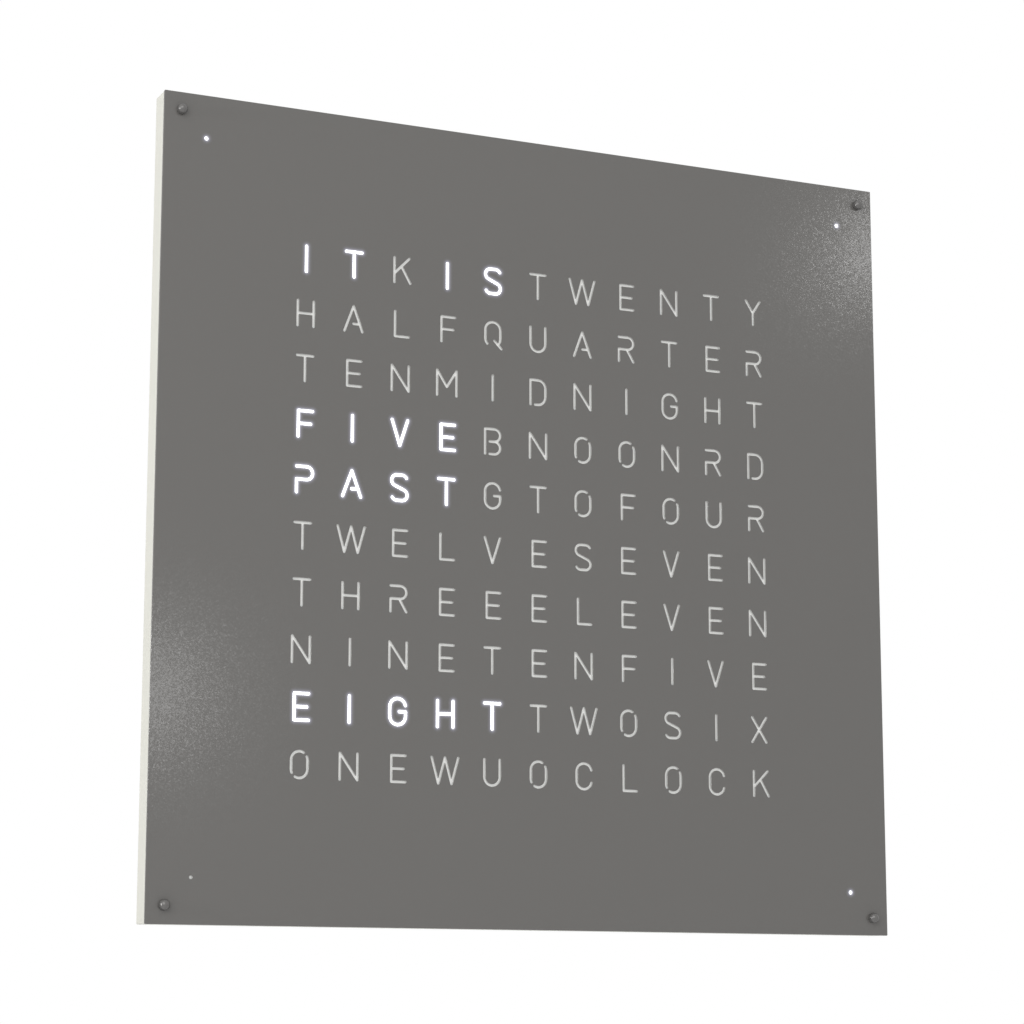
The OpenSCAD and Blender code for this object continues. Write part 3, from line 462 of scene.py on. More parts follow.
def cad_mesh(node: str) -> bmesh.types.BMesh:
    """Returns a copy of a CAD node's mesh with its points joined."""
    bm = bmesh.new()
    bm.from_mesh(frame["nodes"][node].data)
    bmesh.ops.remove_doubles(bm, verts=bm.verts, dist=JOIN)
    return bm


def islands(node: str) -> list[tuple[Vector, Vector]]:
    """Returns the low and high corner of each separate solid of a CAD node, sorted by X and then by Z."""
    bm = cad_mesh(node)
    left, boxes = set(bm.verts), []
    while left:
        found, edge = set(), [left.pop()]
        while edge:
            vert = edge.pop()
            found.add(vert)
            fresh = [link.other_vert(vert) for link in vert.link_edges if link.other_vert(vert) in left]
            left.difference_update(fresh)
            edge += fresh
        low, high = (Vector(pick(v.co[axis] for v in found) for axis in range(3)) for pick in (min, max))
        boxes.append((low, high))
    bm.free()
    return sorted(boxes, key=lambda box: (round(box[0].x, 4), round(box[0].z, 4)))


def middle_at(low: Vector, high: Vector, y: float) -> Vector:
    """Returns the middle of a box in X and Z, at a depth."""
    return Vector(((low.x + high.x) / 2, y, (low.z + high.z) / 2))


def cylinder(radius: float, length: float) -> list[tuple[float, float]]:
    """Returns the profile of a plain cylinder, for Solids.turned."""
    return [(0.0, 0.0), (0.0, radius), (length, radius), (length, 0.0)]


def round_edges(bm: bmesh.types.BMesh, edges: list[bmesh.types.BMEdge], width: float, segments: int) -> None:
    """Rounds edges of a mesh.

    Args:
        bm: The mesh.
        edges: The edges.
        width: Width of the rounding.
        segments: Steps across the rounding.
    """
    bmesh.ops.bevel(
        bm,
        geom=edges,
        offset=width,
        offset_type="OFFSET",
        segments=segments,
        profile=0.5,
        affect="EDGES",
        material=-1,
        clamp_overlap=True,
    )


def thickened(bm: bmesh.types.BMesh, by: float) -> None:
    """Gives a flat sheet its thickness, along Y."""
    back = bmesh.ops.extrude_face_region(bm, geom=list(bm.faces), use_keep_orig=True)["geom"]
    behind = [v for v in back if isinstance(v, bmesh.types.BMVert)]
    bmesh.ops.translate(bm, verts=behind, vec=(0.0, by, 0.0))


def softened(node: str, width_mm: float, segments: int) -> bpy.types.Object:
    """Copies a CAD node with its sharp edges rounded.

    Args:
        node: The CAD node.
        width_mm: Width of the rounding.
        segments: Steps across the rounding.

    Returns:
        The new object.
    """
    bm = cad_mesh(node)
    bmesh.ops.dissolve_limit(bm, angle_limit=FLAT_ANGLE, verts=bm.verts, edges=bm.edges)
    sharp = [edge for edge in bm.edges if len(edge.link_faces) == 2 and edge.calc_face_angle(0.0) > SHARP_ANGLE]
    round_edges(bm, sharp, width_mm * MM, segments)
    made = piece(bm, "soft_" + node, node)
    settle_normals(made)
    return made


class Solids:
    """Collects simple solids in one mesh, at their places in the frame. Lengths are metres."""

    def __init__(self) -> None:
        """Starts with no solid."""
        self.bm = bmesh.new()

    def block(self, low: Iterable[float], high: Iterable[float], width: float = 0.0, segments: int = 2) -> None:
        """Adds a box.

        Args:
            low: Its low corner.
            high: Its high corner.
            width: How far its edges are rounded.
            segments: Steps across the rounding.
        """
        low, high = Vector(low), Vector(high)
        place = Matrix.Translation((low + high) / 2) @ Matrix.Diagonal((*(high - low), 1.0))
        verts = bmesh.ops.create_cube(self.bm, size=1.0, matrix=place)["verts"]
        if width:
            round_edges(self.bm, list({edge for vert in verts for edge in vert.link_edges}), width, segments)

    def turned(self, foot: Vector, along: Vector, profile: Iterable[tuple[float, float]], steps: int = 24) -> None:
        """Adds a turned solid.

        Args:
            foot: A point of its axis.
            along: The axis's direction, of length 1.
            profile: Pairs of a distance along the axis and a radius. It starts and ends on the axis.
            steps: Straight steps round the axis.
        """
        side = along.orthogonal().normalized()
        verts = [self.bm.verts.new(foot + along * run + side * radius) for run, radius in profile]
        edges = [self.bm.edges.new(pair) for pair in pairwise(verts)]
        bmesh.ops.spin(
            self.bm,
            geom=verts + edges,
            cent=foot,
            axis=along,
            dvec=(0.0, 0.0, 0.0),
            angle=math.tau,
            steps=steps,
            use_merge=True,
        )

    def made(self, name: str, node: str, slot: str | None = None) -> bpy.types.Object:
        """Turns the solids into a piece.

        Args:
            name: The piece's name.
            node: The CAD node that it stands for.
            slot: The material slot, or None for the node's own.

        Returns:
            The new object.
        """
        bmesh.ops.remove_doubles(self.bm, verts=self.bm.verts, dist=JOIN)
        bmesh.ops.recalc_face_normals(self.bm, faces=self.bm.faces)
        made = piece(self.bm, name, node, slot)
        settle_normals(made)
        return made


# ---- Letters ----

ARC_STEP, LEAST_R_MM = 15.0, 0.02  # degrees between an arc's points, and the least radius of its inner side


def on_circle(centre: Vector, radius: float, degrees: float) -> Vector:
    """Returns the point of a circle at an angle."""
    turn = math.radians(degrees)
    return centre + radius * Vector((math.cos(turn), math.sin(turn)))


@dataclass(frozen=True)
class Line:
    """A straight stroke, on its middle line, in millimetres. A stroke of no length draws a dot."""

    start: Vector
    end: Vector

    def moved(self, by: Vector) -> Line:
        """Returns the stroke at another place."""
        return Line(self.start + by, self.end + by)

    def distance(self, point: Vector) -> float:
        """Returns how far a point is from the middle line."""
        run = self.end - self.start
        share = 0.0 if run.length_squared == 0 else (point - self.start).dot(run) / run.length_squared
        return (point - self.start - min(max(share, 0.0), 1.0) * run).length

    def outline(self, reach: float, steps: int) -> list[Vector]:
        """Returns the outline at a distance all round, counter-clockwise.

        Args:
            reach: The distance from the middle line.
            steps: Straight steps in each round end.
        """
        run = self.end - self.start
        base = math.degrees(math.atan2(run.y, run.x)) if run.length else 0.0
        turns = [180.0 * i / steps for i in range(steps + 1)]
        return [on_circle(self.end, reach, base - 90 + turn) for turn in turns] + [
            on_circle(self.start, reach, base + 90 + turn) for turn in turns
        ]


@dataclass(frozen=True)
class Arc:
    """A curved stroke, counter-clockwise between two angles in degrees, in millimetres."""

    centre: Vector
    radius: float
    first: float
    last: float

    def moved(self, by: Vector) -> Arc:
        """Returns the stroke at another place."""
        return Arc(self.centre + by, self.radius, self.first, self.last)

    def distance(self, point: Vector) -> float:
        """Returns how far a point is from the middle line."""
        arm = point - self.centre
        angle = math.degrees(math.atan2(arm.y, arm.x))
        if (angle - self.first) % 360 <= self.last - self.first:
            return abs(arm.length - self.radius)
        ends = (on_circle(self.centre, self.radius, a) for a in (self.first, self.last))
        return min((point - end).length for end in ends)

    def outline(self, reach: float, steps: int) -> list[Vector]:
        """Returns the outline at a distance all round, counter-clockwise.

        Args:
            reach: The distance from the middle line.
            steps: Straight steps in each round end.
        """
        count = math.ceil((self.last - self.first) / ARC_STEP)
        angles = [self.first + (self.last - self.first) * i / count for i in range(count + 1)]
        inner = max(self.radius - reach, LEAST_R_MM)
        turns = [180.0 * i / steps for i in range(1, steps)]
        tip = on_circle(self.centre, self.radius, self.last)
        tail = on_circle(self.centre, self.radius, self.first)
        return (
            [on_circle(self.centre, self.radius + reach, a) for a in angles]
            + [on_circle(tip, reach, self.last + turn) for turn in turns]
            + [on_circle(self.centre, inner, a) for a in reversed(angles)]
            + [on_circle(tail, reach, self.first + 180 + turn) for turn in turns]
        )


Stroke = Line | Arc


@dataclass(frozen=True)
class Font:
    """The letters' own sizes, in millimetres and degrees.

    Attributes:
        cap_h: Height of a letter, strokes included.
        cap_w: Width of a full letter.
        slim_w: Width of E, F and L.
        slim_shift: How far the letters in shifted stand to the right.
        stroke_w: Width of a stroke.
        bridge_w: Width of the steel bridges that hold closed letters' middles.
        hook_r: Radius of the curves of S.
        hook_end: Where these curves run into its slanted middle.
        jaw: How far the ends of C and G stay above and below the middle of their curves.
        cut: Where the rings of O and Q are bridged.
        shifted: The letters that stand to the right.
    """

    cap_h: float = 15.8
    cap_w: float = 10.8
    slim_w: float = 9.7
    slim_shift: float = 0.7
    stroke_w: float = 1.5
    bridge_w: float = 1.3
    hook_r: float = 3.1
    hook_end: float = 242.0
    jaw: float = 12.0
    cut: float = 42.0
    shifted: str = "EFLP"

    def strokes(self, ch: str) -> list[Stroke]:
        """Returns the strokes of one letter round its cell's middle.

        Args:
            ch: A capital letter.
        """
        w = (self.cap_w - self.stroke_w) / 2
        s = (self.slim_w - self.stroke_w) / 2
        h = (self.cap_h - self.stroke_w) / 2
        bowl = h / 2
        mid = h - w
        gap = self.bridge_w + self.stroke_w
        turn = math.degrees(gap / w)
        side, high = w - self.hook_r, h - self.hook_r
        spine = on_circle(Vector((-side, high)), self.hook_r, self.hook_end)

        def chain(*points: tuple[float, float]) -> list[Stroke]:
            return [Line(Vector(a), Vector(b)) for a, b in pairwise(points)]

        def arc(x: float, z: float, radius: float, first: float, last: float) -> list[Stroke]:
            return [Arc(Vector((x, z)), radius, first, last)]

        def lobe(low: float, start: float) -> list[Stroke]:
            return chain((start, low), (w - bowl, low)) + arc(w - bowl, low + bowl, bowl, -90, 90)

        def both(strokes: list[Stroke]) -> list[Stroke]:
            turned = [
                Line(-t.start, -t.end) if isinstance(t, Line) else Arc(-t.centre, t.radius, t.first + 180, t.last + 180)
                for t in strokes
            ]
            return strokes + turned

        stem = chain((0, -h), (0, h))
        letters: dict[str, Callable[[], list[Stroke]]] = {
            "A": lambda: chain((-1.14 * w, -h), (0, h), (1.14 * w, -h)) + chain((0, -0.4 * h), (0.8 * w, -0.4 * h)),
            "B": lambda: chain((-w, -h), (-w, h), (w - bowl, h)) + lobe(0, gap - w) + lobe(-h, gap - w),
            "C": lambda: arc(0, mid, w, self.jaw, 180)
            + chain((-w, mid), (-w, -mid))
            + arc(0, -mid, w, 180, 360 - self.jaw),
            "D": lambda: chain((-w, -h), (-w, h), (0, h))
            + arc(0, mid, w, 0, 90)
            + chain((w, mid), (w, -mid))
            + arc(0, -mid, w, -90, 0)
            + chain((0, -h), (gap - w, -h)),
            "E": lambda: chain((s, h), (-s, h), (-s, -h), (s, -h)) + chain((-s, 0), (0.75 * s, 0)),
            "F": lambda: chain((s, h), (-s, h), (-s, -h)) + chain((-s, 0), (0.75 * s, 0)),
            "G": lambda: arc(0, mid, w, self.jaw, 180)
            + chain((-w, mid), (-w, -mid))
            + arc(0, -mid, w, 180, 360)
            + chain((w, -mid), (w, 0), (0.2 * w, 0)),
            "H": lambda: chain((-w, -h), (-w, h)) + chain((w, -h), (w, h)) + chain((-w, 0), (w, 0)),
            "I": lambda: stem,
            "K": lambda: chain((-0.86 * w, -h), (-0.86 * w, h))
            + chain((-0.86 * w, -0.28 * h), (1.08 * w, h))
            + chain((0.05 * w, 0.32 * h), (1.2 * w, -h)),
            "L": lambda: chain((-s, h), (-s, -h), (s, -h)),
            "M": lambda: chain((-1.27 * w, -h), (-1.27 * w, h), (0, -0.3 * h), (1.27 * w, h), (1.27 * w, -h)),
            "N": lambda: chain((-1.09 * w, -h), (-1.09 * w, h), (1.09 * w, -h), (1.09 * w, h)),
            "O": lambda: both(
                arc(0, mid, w, self.cut + turn / 2, 180)
                + chain((-w, mid), (-w, -mid))
                + arc(0, -mid, w, 180, 180 + self.cut - turn / 2)
            ),
            "P": lambda: chain((-w, -h), (-w, 0)) + lobe(0, -w) + chain((-w, h), (w - bowl, h)),
            "R": lambda: letters["P"]() + chain((0.1 * w, 0), (w, -h)),
            "Q": lambda: arc(0, mid, w, 0, 180)
            + chain((-w, mid), (-w, -mid))
            + chain((w, mid), (w, -mid))
            + arc(0, -mid, w, 180, 180 + self.cut)
            + arc(0, -mid, w, 322, 360)
            + chain((0.2 * w, -0.5 * h), (1.15 * w, -1.12 * h)),
            "S": lambda: both(
                arc(side, high, self.hook_r, 30, 90)
                + chain((side, h), (-side, h))
                + arc(-side, high, self.hook_r, 90, self.hook_end)
            )
            + [Line(spine, -spine)],
            "T": lambda: chain((-w, h), (w, h)) + stem,
            "U": lambda: chain((-w, h), (-w, -mid)) + chain((w, h), (w, -mid)) + arc(0, -mid, w, 180, 360),
            "V": lambda: chain((-w, h), (0, -h), (w, h)),
            "W": lambda: chain((-1.7 * w, h), (-0.85 * w, -h), (0, h), (0.85 * w, -h), (1.7 * w, h)),
            "X": lambda: chain((-w, -h), (w, h)) + chain((-w, h), (w, -h)),
            "Y": lambda: chain((-w, h), (0, 0), (w, h)) + chain((0, 0), (0, -h)),
        }
        shift = Vector((self.slim_shift if ch in self.shifted else 0.0, 0.0))
        return [stroke.moved(shift) for stroke in letters[ch]()]


@dataclass(frozen=True)
class Matrix2D:
    """The letter matrix and the minute holes in the corners, with what is lit, in millimetres."""

    words: tuple[str, ...] = (
        "ITKISTWENTY",
        "HALFQUARTER",
        "TENMIDNIGHT",
        "FIVEBNOONRD",
        "PASTGTOFOUR",
        "TWELVESEVEN",
        "THREEELEVEN",
        "NINETENFIVE",
        "EIGHTTWOSIX",
        "ONEWUOCLOCK",
    )
    lit_runs: tuple[tuple[int, int, int], ...] = ((0, 0, 1), (0, 3, 4), (3, 0, 3), (4, 0, 3), (8, 0, 4))
    col_pitch: float = 28.25
    row_pitch: float = 31.0
    dot_inset: float = 24.5
    dark_dot: tuple[int, int] = (-1, -1)

    @property
    def rows(self) -> int:
        """Number of rows."""
        return len(self.words)

    @property
    def cols(self) -> int:
        """Number of columns."""
        return len(self.words[0])

    def centre(self, row: int, col: int) -> Vector:
        """Returns the middle of a cell in X and Z."""
        return Vector(((col - (self.cols - 1) / 2) * self.col_pitch, ((self.rows - 1) / 2 - row) * self.row_pitch))

    def is_lit(self, row: int, col: int) -> bool:
        """Tells whether a cell is part of a lit word."""
        return any(row == r and first <= col <= last for r, first, last in self.lit_runs)

    def borders(self) -> tuple[list[float], list[float]]:
        """Returns the lines between the columns, left to right, and between the rows, low to high."""
        xs = [(i - self.cols / 2) * self.col_pitch for i in range(self.cols + 1)]
        zs = [(i - self.rows / 2) * self.row_pitch for i in range(self.rows + 1)]
        return xs, zs


@dataclass(frozen=True)
class Opening:
    """One slot or hole through the cover: a stroke, half its width, and whether light comes through."""

    stroke: Stroke
    half_w: float
    lit: bool


# ---- Front cover ----


@dataclass
class FrontCover:
    """The pierced steel cover, its coat rounded over every edge. Lengths are millimetres, except in Y.

    Attributes:
        near_haze: How far the mesh's first lines for the painted glow stand from a lit opening, drawn in near_steps.
        far_haze: The same for the lines farther out, drawn in far_steps.
        flat: Faces whose normal is nearer than this to Y are shaded flat.
        wall_inset: Walls nearer than this to the cover's edge aren't an opening's.
    """

    matrix: Matrix2D
    font: Font = field(default_factory=Font)
    dot_r: float = 1.0
    ball_hole_r: float = 2.6
    ball_inset: float = 10.0
    corner_r: float = 0.8
    least_corner_r: float = 0.05
    corner_steps: int = 4
    edge_r: float = 0.3
    rim_r: float = 0.12
    haze_reach: float = 2.5
    near_haze: tuple[float, ...] = (0.5,)
    far_haze: tuple[float, ...] = (1.3, 2.5)
    near_steps: int = 8
    far_steps: int = 6
    grid_tolerance: float = 1e-4
    flat: float = 0.98
    wall_inset: float = 1.0

    def __post_init__(self) -> None:
        """Reads the cover's place from the frame."""
        low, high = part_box("front_cover")
        self.y_front, self.y_back = low.y, high.y
        self.half = high.x / MM

    def corners(self, inset: float) -> list[tuple[Vector, bool]]:
        """Returns the four places at one inset from the edges, each with whether its light is on."""
        at = self.half - inset
        return [(Vector((x * at, z * at)), (x, z) != self.matrix.dark_dot) for x in (-1, 1) for z in (-1, 1)]

    def plate_outline(self, inset: float) -> list[Vector]:
        """Returns the plate's outline, drawn in by an inset."""
        radius = max(self.corner_r - inset, self.least_corner_r)
        arm = self.half - inset - radius
        turns = [90.0 * step / self.corner_steps for step in range(self.corner_steps + 1)]
        points = []
        for quarter, (x, z) in enumerate(((1, 1), (-1, 1), (-1, -1), (1, -1))):
            centre = Vector((x * arm, z * arm))
            points += [on_circle(centre, radius, 90.0 * quarter + turn) for turn in turns]
        return points

    def pierce(
        self, bm: bmesh.types.BMesh, areas: list[list[Vector]], openings: list[Opening], left_out: int = 0
    ) -> None:
        """Fills an area of the front face with triangles, leaving its openings out.

        Args:
            bm: The cover's mesh.
            areas: The area's outline, then any outline inside it that triangles must follow.
            openings: The slots and holes in the area.
            left_out: How many of the last areas are left out of the face.
        """
        faces = list(areas)
        gone = set(range(len(areas) - left_out, len(areas)))
        for opening in openings:
            gone.add(len(faces))
            near = (0.0, self.rim_r) + (self.near_haze if opening.lit else ())
            faces += [opening.stroke.outline(opening.half_w + offset, self.near_steps) for offset in near]
            far = self.far_haze if opening.lit else ()
            faces += [opening.stroke.outline(opening.half_w + offset, self.far_steps) for offset in far]
        points = [point for outline in faces for point in outline]
        starts = [sum(len(f) for f in faces[:i]) for i in range(len(faces))]
        loops = [list(range(start, start + len(f))) for start, f in zip(starts, faces)]
        flat, _, triangles, _, _, origins = delaunay_2d_cdt(points, [], loops, 1, self.grid_tolerance)
        glow, drop = bm.verts.layers.float["glow"], bm.verts.layers.float["drop"]
        made = []
        for point in flat:
            vert = bm.verts.new((point.x * MM, self.y_front, point.y * MM))
            vert[glow], vert[drop] = self.marks(point, openings)
            made.append(vert)
        for triangle, origin in zip(triangles, origins):
            if 0 in origin and not gone.intersection(origin):
                bm.faces.new([made[i] for i in triangle])

    def marks(self, point: Vector, openings: list[Opening]) -> tuple[float, float]:
        """Works out a point's painted glow of haze and how far the rounding takes it back.

        Args:
            point: A point of the front face.
            openings: The openings near it.

        Returns:
            The painted glow of haze from 0 to 1, and the drop in millimetres.
        """
        glow, drop = 0.0, 0.0
        for opening in openings:
            beyond = opening.stroke.distance(point) - opening.half_w
            # Painted glow: full at a lit opening's edge, fading to nothing at haze_reach.
            if opening.lit:
                glow = max(glow, 1.0 - max(beyond, 0.0) / self.haze_reach)
            if beyond < self.rim_r / 4:
                drop = self.rim_r
        inset = self.half - max(abs(point.x), abs(point.y))
        if inset < self.edge_r:
            drop = self.edge_r - math.sqrt(max(self.edge_r**2 - (self.edge_r - inset) ** 2, 0.0))
        return glow, drop

    def face(self, bm: bmesh.types.BMesh) -> None:
        """Makes the front face, cell by cell and then the border round the cells."""
        xs, zs = self.matrix.borders()
        half_w = self.font.stroke_w / 2
        for row, word in enumerate(self.matrix.words):
            for col, ch in enumerate(word):
                lit = self.matrix.is_lit(row, col)
                centre = self.matrix.centre(row, col)
                low, high = zs[self.matrix.rows - 1 - row], zs[self.matrix.rows - row]
                cell = [Vector(p) for p in ((xs[col], low), (xs[col + 1], low), (xs[col + 1], high), (xs[col], high))]
                strokes = [stroke.moved(centre) for stroke in self.font.strokes(ch)]
                self.pierce(bm, [cell], [Opening(stroke, half_w, lit) for stroke in strokes])
        inner = (
            [Vector((x, zs[0])) for x in xs]
            + [Vector((xs[-1], z)) for z in zs[1:]]
            + [Vector((x, zs[-1])) for x in reversed(xs[:-1])]
            + [Vector((xs[0], z)) for z in reversed(zs[1:-1])]
        )
        holes = [Opening(Line(p, p), self.dot_r, lit) for p, lit in self.corners(self.matrix.dot_inset)]
        holes += [Opening(Line(p, p), self.ball_hole_r, False) for p, _ in self.corners(self.ball_inset)]
        insets = (0.0, self.edge_r * (1 - math.sqrt(0.5)), self.edge_r)
        self.pierce(bm, [self.plate_outline(inset) for inset in insets] + [inner], holes, left_out=1)

    def build(self) -> bpy.types.Object:
        """Makes the cover."""
        bm = bmesh.new()
        bm.verts.layers.float.new("glow")
        drop = bm.verts.layers.float.new("drop")
        self.face(bm)
        bmesh.ops.remove_doubles(bm, verts=bm.verts, dist=JOIN)
        front = list(bm.verts)
        thickened(bm, self.y_back - self.y_front)
        for vert in front:
            vert.co.y += vert[drop] * MM
        bmesh.ops.recalc_face_normals(bm, faces=bm.faces)
        wall = bm.faces.layers.float.new("wall")
        for face in bm.faces:
            face.smooth = abs(face.normal.y) < self.flat
            at = face.calc_center_median() / MM
            inside = max(abs(at.x), abs(at.z)) < self.half - self.wall_inset
            face[wall] = float(inside and abs(face.normal.y) < 0.5)
        return piece(bm, "pierced_cover", "front_cover")


# ---- Opal sheet ----


@dataclass
class Diffuser:
    """The opal sheet behind the cover, brighter over each lit cell. Lengths are millimetres, except in Y.

    Attributes:
        well_shares: The mesh's lines across a well, as shares of its radius.
        cell_shares: The mesh's lines across a cell, as shares of its width.
        well_edge: Where a well's light ends, as a share of the outermost of these lines.
        well_power: How evenly a well's light fills it.
        cell_fall: How much dimmer a lit cell is at its wall than in its middle.
    """

    matrix: Matrix2D
    cell_wall: float = 1.6
    well_r: float = 4.5
    well_shares: tuple[float, ...] = (-1.2, -0.6, 0.0, 0.6, 1.2)
    cell_shares: tuple[float, ...] = (0.2, 0.35, 0.5, 0.65, 0.8)
    well_edge: float = 0.999
    well_power: float = 0.3
    cell_fall: float = 0.45
    cell_power: int = 3

    def __post_init__(self) -> None:
        """Works out how far the minute holes are from the middle."""
        self.dot_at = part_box("front_cover")[1].x / MM - self.matrix.dot_inset

    def lines(self, borders: list[float], half: float) -> list[float]:
        """Returns the mesh lines across one direction: the sides of each wall and well, and steps inside each cell."""
        places = [-half, half]
        places += [side * self.dot_at + share * self.well_r for side in (-1, 1) for share in self.well_shares]
        for border in borders:
            places += [border - self.cell_wall / 2, border + self.cell_wall / 2]
        for low, high in pairwise(borders):
            places += [low + (high - low) * share for share in self.cell_shares]
        return sorted(places)

    def level(self, point: Vector) -> float:
        """Returns how strongly the sheet glows at a point, from 0 to 1."""
        side = (1 if point.x > 0 else -1, 1 if point.y > 0 else -1)
        away = (point - self.dot_at * Vector(side)).length / (self.well_r * self.well_shares[-1])
        if side != self.matrix.dark_dot and away < self.well_edge:
            return (1.0 - away) ** self.well_power
        for row in range(self.matrix.rows):
            for col in range(self.matrix.cols):
                if not self.matrix.is_lit(row, col):
                    continue
                off = point - self.matrix.centre(row, col)
                across = abs(off.x) / (self.matrix.col_pitch / 2)
                up = abs(off.y) / (self.matrix.row_pitch / 2)
                if max(across, up) < 1.0:
                    return 1.0 - self.cell_fall * max(across, up) ** self.cell_power
        return 0.0

    def build(self) -> bpy.types.Object:
        """Makes the sheet."""
        low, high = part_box("diffuser_sheet")
        half = high.x / MM
        xs_all, zs_all = self.matrix.borders()
        xs, zs = self.lines(xs_all, half), self.lines(zs_all, half)
        bm = bmesh.new()
        lit = bm.verts.layers.float.new("lit")
        grid = bmesh.ops.create_grid(bm, x_segments=len(xs) - 1, y_segments=len(zs) - 1, size=1.0)["verts"]
        for vert in grid:
            x = xs[round((vert.co.x + 1) / 2 * (len(xs) - 1))]
            z = zs[round((vert.co.y + 1) / 2 * (len(zs) - 1))]
            vert.co = (x * MM, low.y, z * MM)
            vert[lit] = self.level(Vector((x, z)))
        thickened(bm, high.y - low.y)
        bmesh.ops.recalc_face_normals(bm, faces=bm.faces)
        return piece(bm, "opal_sheet", "diffuser_sheet")


# ---- Casing ----


@dataclass
class SoftParts:
    """Every part whose CAD shape only needs its edges rounded, with the width of the rounding in millimetres.

    Attributes:
        wide: From this width on, a rounding takes three steps and not two.
        widths: The width for each node.
    """

    wide: float = 0.3
    widths: dict[str, float] = field(
        default_factory=lambda: {
            "body_shell": 0.35,
            "rear_frame": 0.6,
            "bay_cover": 0.15,
            "inlet_bracket": 0.15,
            "hanger_plates": 0.2,
            "power_inlet": 0.3,
            "inlet_pin": 0.2,
            "frame_screws": 0.12,
            "bay_cover_screws": 0.1,
            "hanger_screws": 0.1,
            "inlet_screws": 0.1,
            "sheet_screws": 0.25,
            "control_board_screws": 0.2,
            "button_board_screws": 0.2,
            "magnet_cups": 0.2,
            "corner_magnets": 0.4,
            "button_set": 0.4,
            "button_up": 0.4,
            "button_down": 0.4,
            "plunger_set": 0.25,
            "plunger_up": 0.25,
            "plunger_down": 0.25,
            "button_switches": 0.25,
            "coin_cell_holder": 0.3,
            "antenna_clips": 0.25,
            "board_link": 0.2,
            "cable_socket": 0.2,
            "button_cable": 0.1,
            "light_sensor": 0.1,
        }
    )

    def build(self) -> None:
        """Makes every piece."""
        for node, width in self.widths.items():
            softened(node, width, segments=3 if width >= self.wide else 2)


# ---- Electronics ----


@dataclass
class LightEmitters:
    """The LEDs: a white package round a domed phosphor, with the lip and the dome's radius as shares of its size."""

    lip: float = 0.2
    round_mm: float = 0.12
    dome_mm: float = 0.1
    dome_share: float = 0.36

    def build(self) -> None:
        """Makes the packages and the phosphor of both kinds of LED. Their light leaves to the front."""
        for node in ("letter_leds", "minute_leds"):
            packages, phosphor = Solids(), Solids()
            for low, high in islands(node):
                size = high - low
                rim = low.y + self.lip * size.y
                packages.block((low.x, rim, low.z), high, self.round_mm * MM)
                reach = rim + self.dome_mm * MM - low.y
                r = self.dome_share * size.x
                dome = [(0.5 * reach, r), (0.85 * reach, 0.8 * r), (reach, 0.4 * r), (reach, 0.0)]
                phosphor.turned(middle_at(low, high, low.y + reach), FRONT, [(0.0, 0.0), (0.0, r)] + dome, steps=20)
            packages.made(node + "_packages", node, "white_plastic")
            phosphor.made(node + "_phosphor", node)


@dataclass
class Chips:
    """The chips on the boards' backs: a moulded body, its legs and the mark of its first leg.

    Attributes:
        legs_on: For each node, the legs on each side that runs along X, and along Z.
        leg_share: How far the legs stand out, as a share of the chip's shorter side.
        leg_half_share: Half a leg's width, as a share of the legs' pitch.
        mark_share: The mark's radius, as a share of the chip's shorter side.
        top_mm: How far the body stays below the CAD solid's top, so that the mark stands within it.
        round_mm: How far the body's edges are rounded.
    """

    legs_on: dict[str, tuple[int, int]] = field(
        default_factory=lambda: {"processor_chip": (12, 12), "led_drivers": (12, 0), "power_regulator": (3, 0)}
    )
    leg_share: float = 0.13
    leg_half_share: float = 0.22
    mark_share: float = 0.05
    top_mm: float = 0.03
    round_mm: float = 0.08

    def chip(self, parts: tuple[Solids, Solids, Solids], low: Vector, high: Vector, along_x: int, along_z: int) -> None:
        """Adds one chip.

        Args:
            parts: The bodies, the legs and the marks.
            low: The chip's low corner, on its board.
            high: Its high corner.
            along_x: Legs on each side that runs along X.
            along_z: Legs on each side that runs along Z.
        """
        bodies, legs, marks = parts
        size = high - low
        run = self.leg_share * min(size.x, size.z)
        in_x, in_z = (run if along_z else 0.0), (run if along_x else 0.0)
        top = high.y - self.top_mm * MM
        near, far = (low.x + in_x, low.y + 0.1 * size.y, low.z + in_z), (high.x - in_x, top, high.z - in_z)
        bodies.block(near, far, self.round_mm * MM)
        foot, knee = low.y + 0.15 * size.y, low.y + 0.5 * size.y
        for count, axis, inset in ((along_x, 0, in_x), (along_z, 2, in_z)):
            pitch = (size[axis] - 2 * inset) / max(count, 1)
            for i in range(count):
                middle = low[axis] + inset + (i + 0.5) * pitch
                for edge, inward in ((low[2 - axis], 1), (high[2 - axis], -1)):
                    shin, body = sorted((edge + inward * 0.55 * run, edge + inward * 1.1 * run))
                    toe = sorted((edge, edge + inward * 0.7 * run))
                    for (a, b), (y0, y1) in ((toe, (low.y, foot)), ((shin, body), (low.y + 0.02 * MM, knee))):
                        near, far = [0.0, y0, 0.0], [0.0, y1, 0.0]
                        near[axis], far[axis] = (middle + side * self.leg_half_share * pitch for side in (-1, 1))
                        near[2 - axis], far[2 - axis] = a, b
                        legs.block(near, far)
        spot = Vector((low.x + in_x + 1.6 * run, top - 0.05 * MM, high.z - in_z - 1.2 * run))
        marks.turned(spot, BACK, cylinder(self.mark_share * min(size.x, size.z), 0.065 * MM), steps=16)

    def build(self) -> None:
        """Makes every chip."""
        for node, (along_x, along_z) in self.legs_on.items():
            parts = (Solids(), Solids(), Solids())
            for low, high in islands(node):
                self.chip(parts, low, high, along_x, along_z)
            for solids, name, slot in zip(parts, ("body", "legs", "mark"), (None, "plated_steel", "cable_white")):
                solids.made(f"{node}_{name}", node, slot)


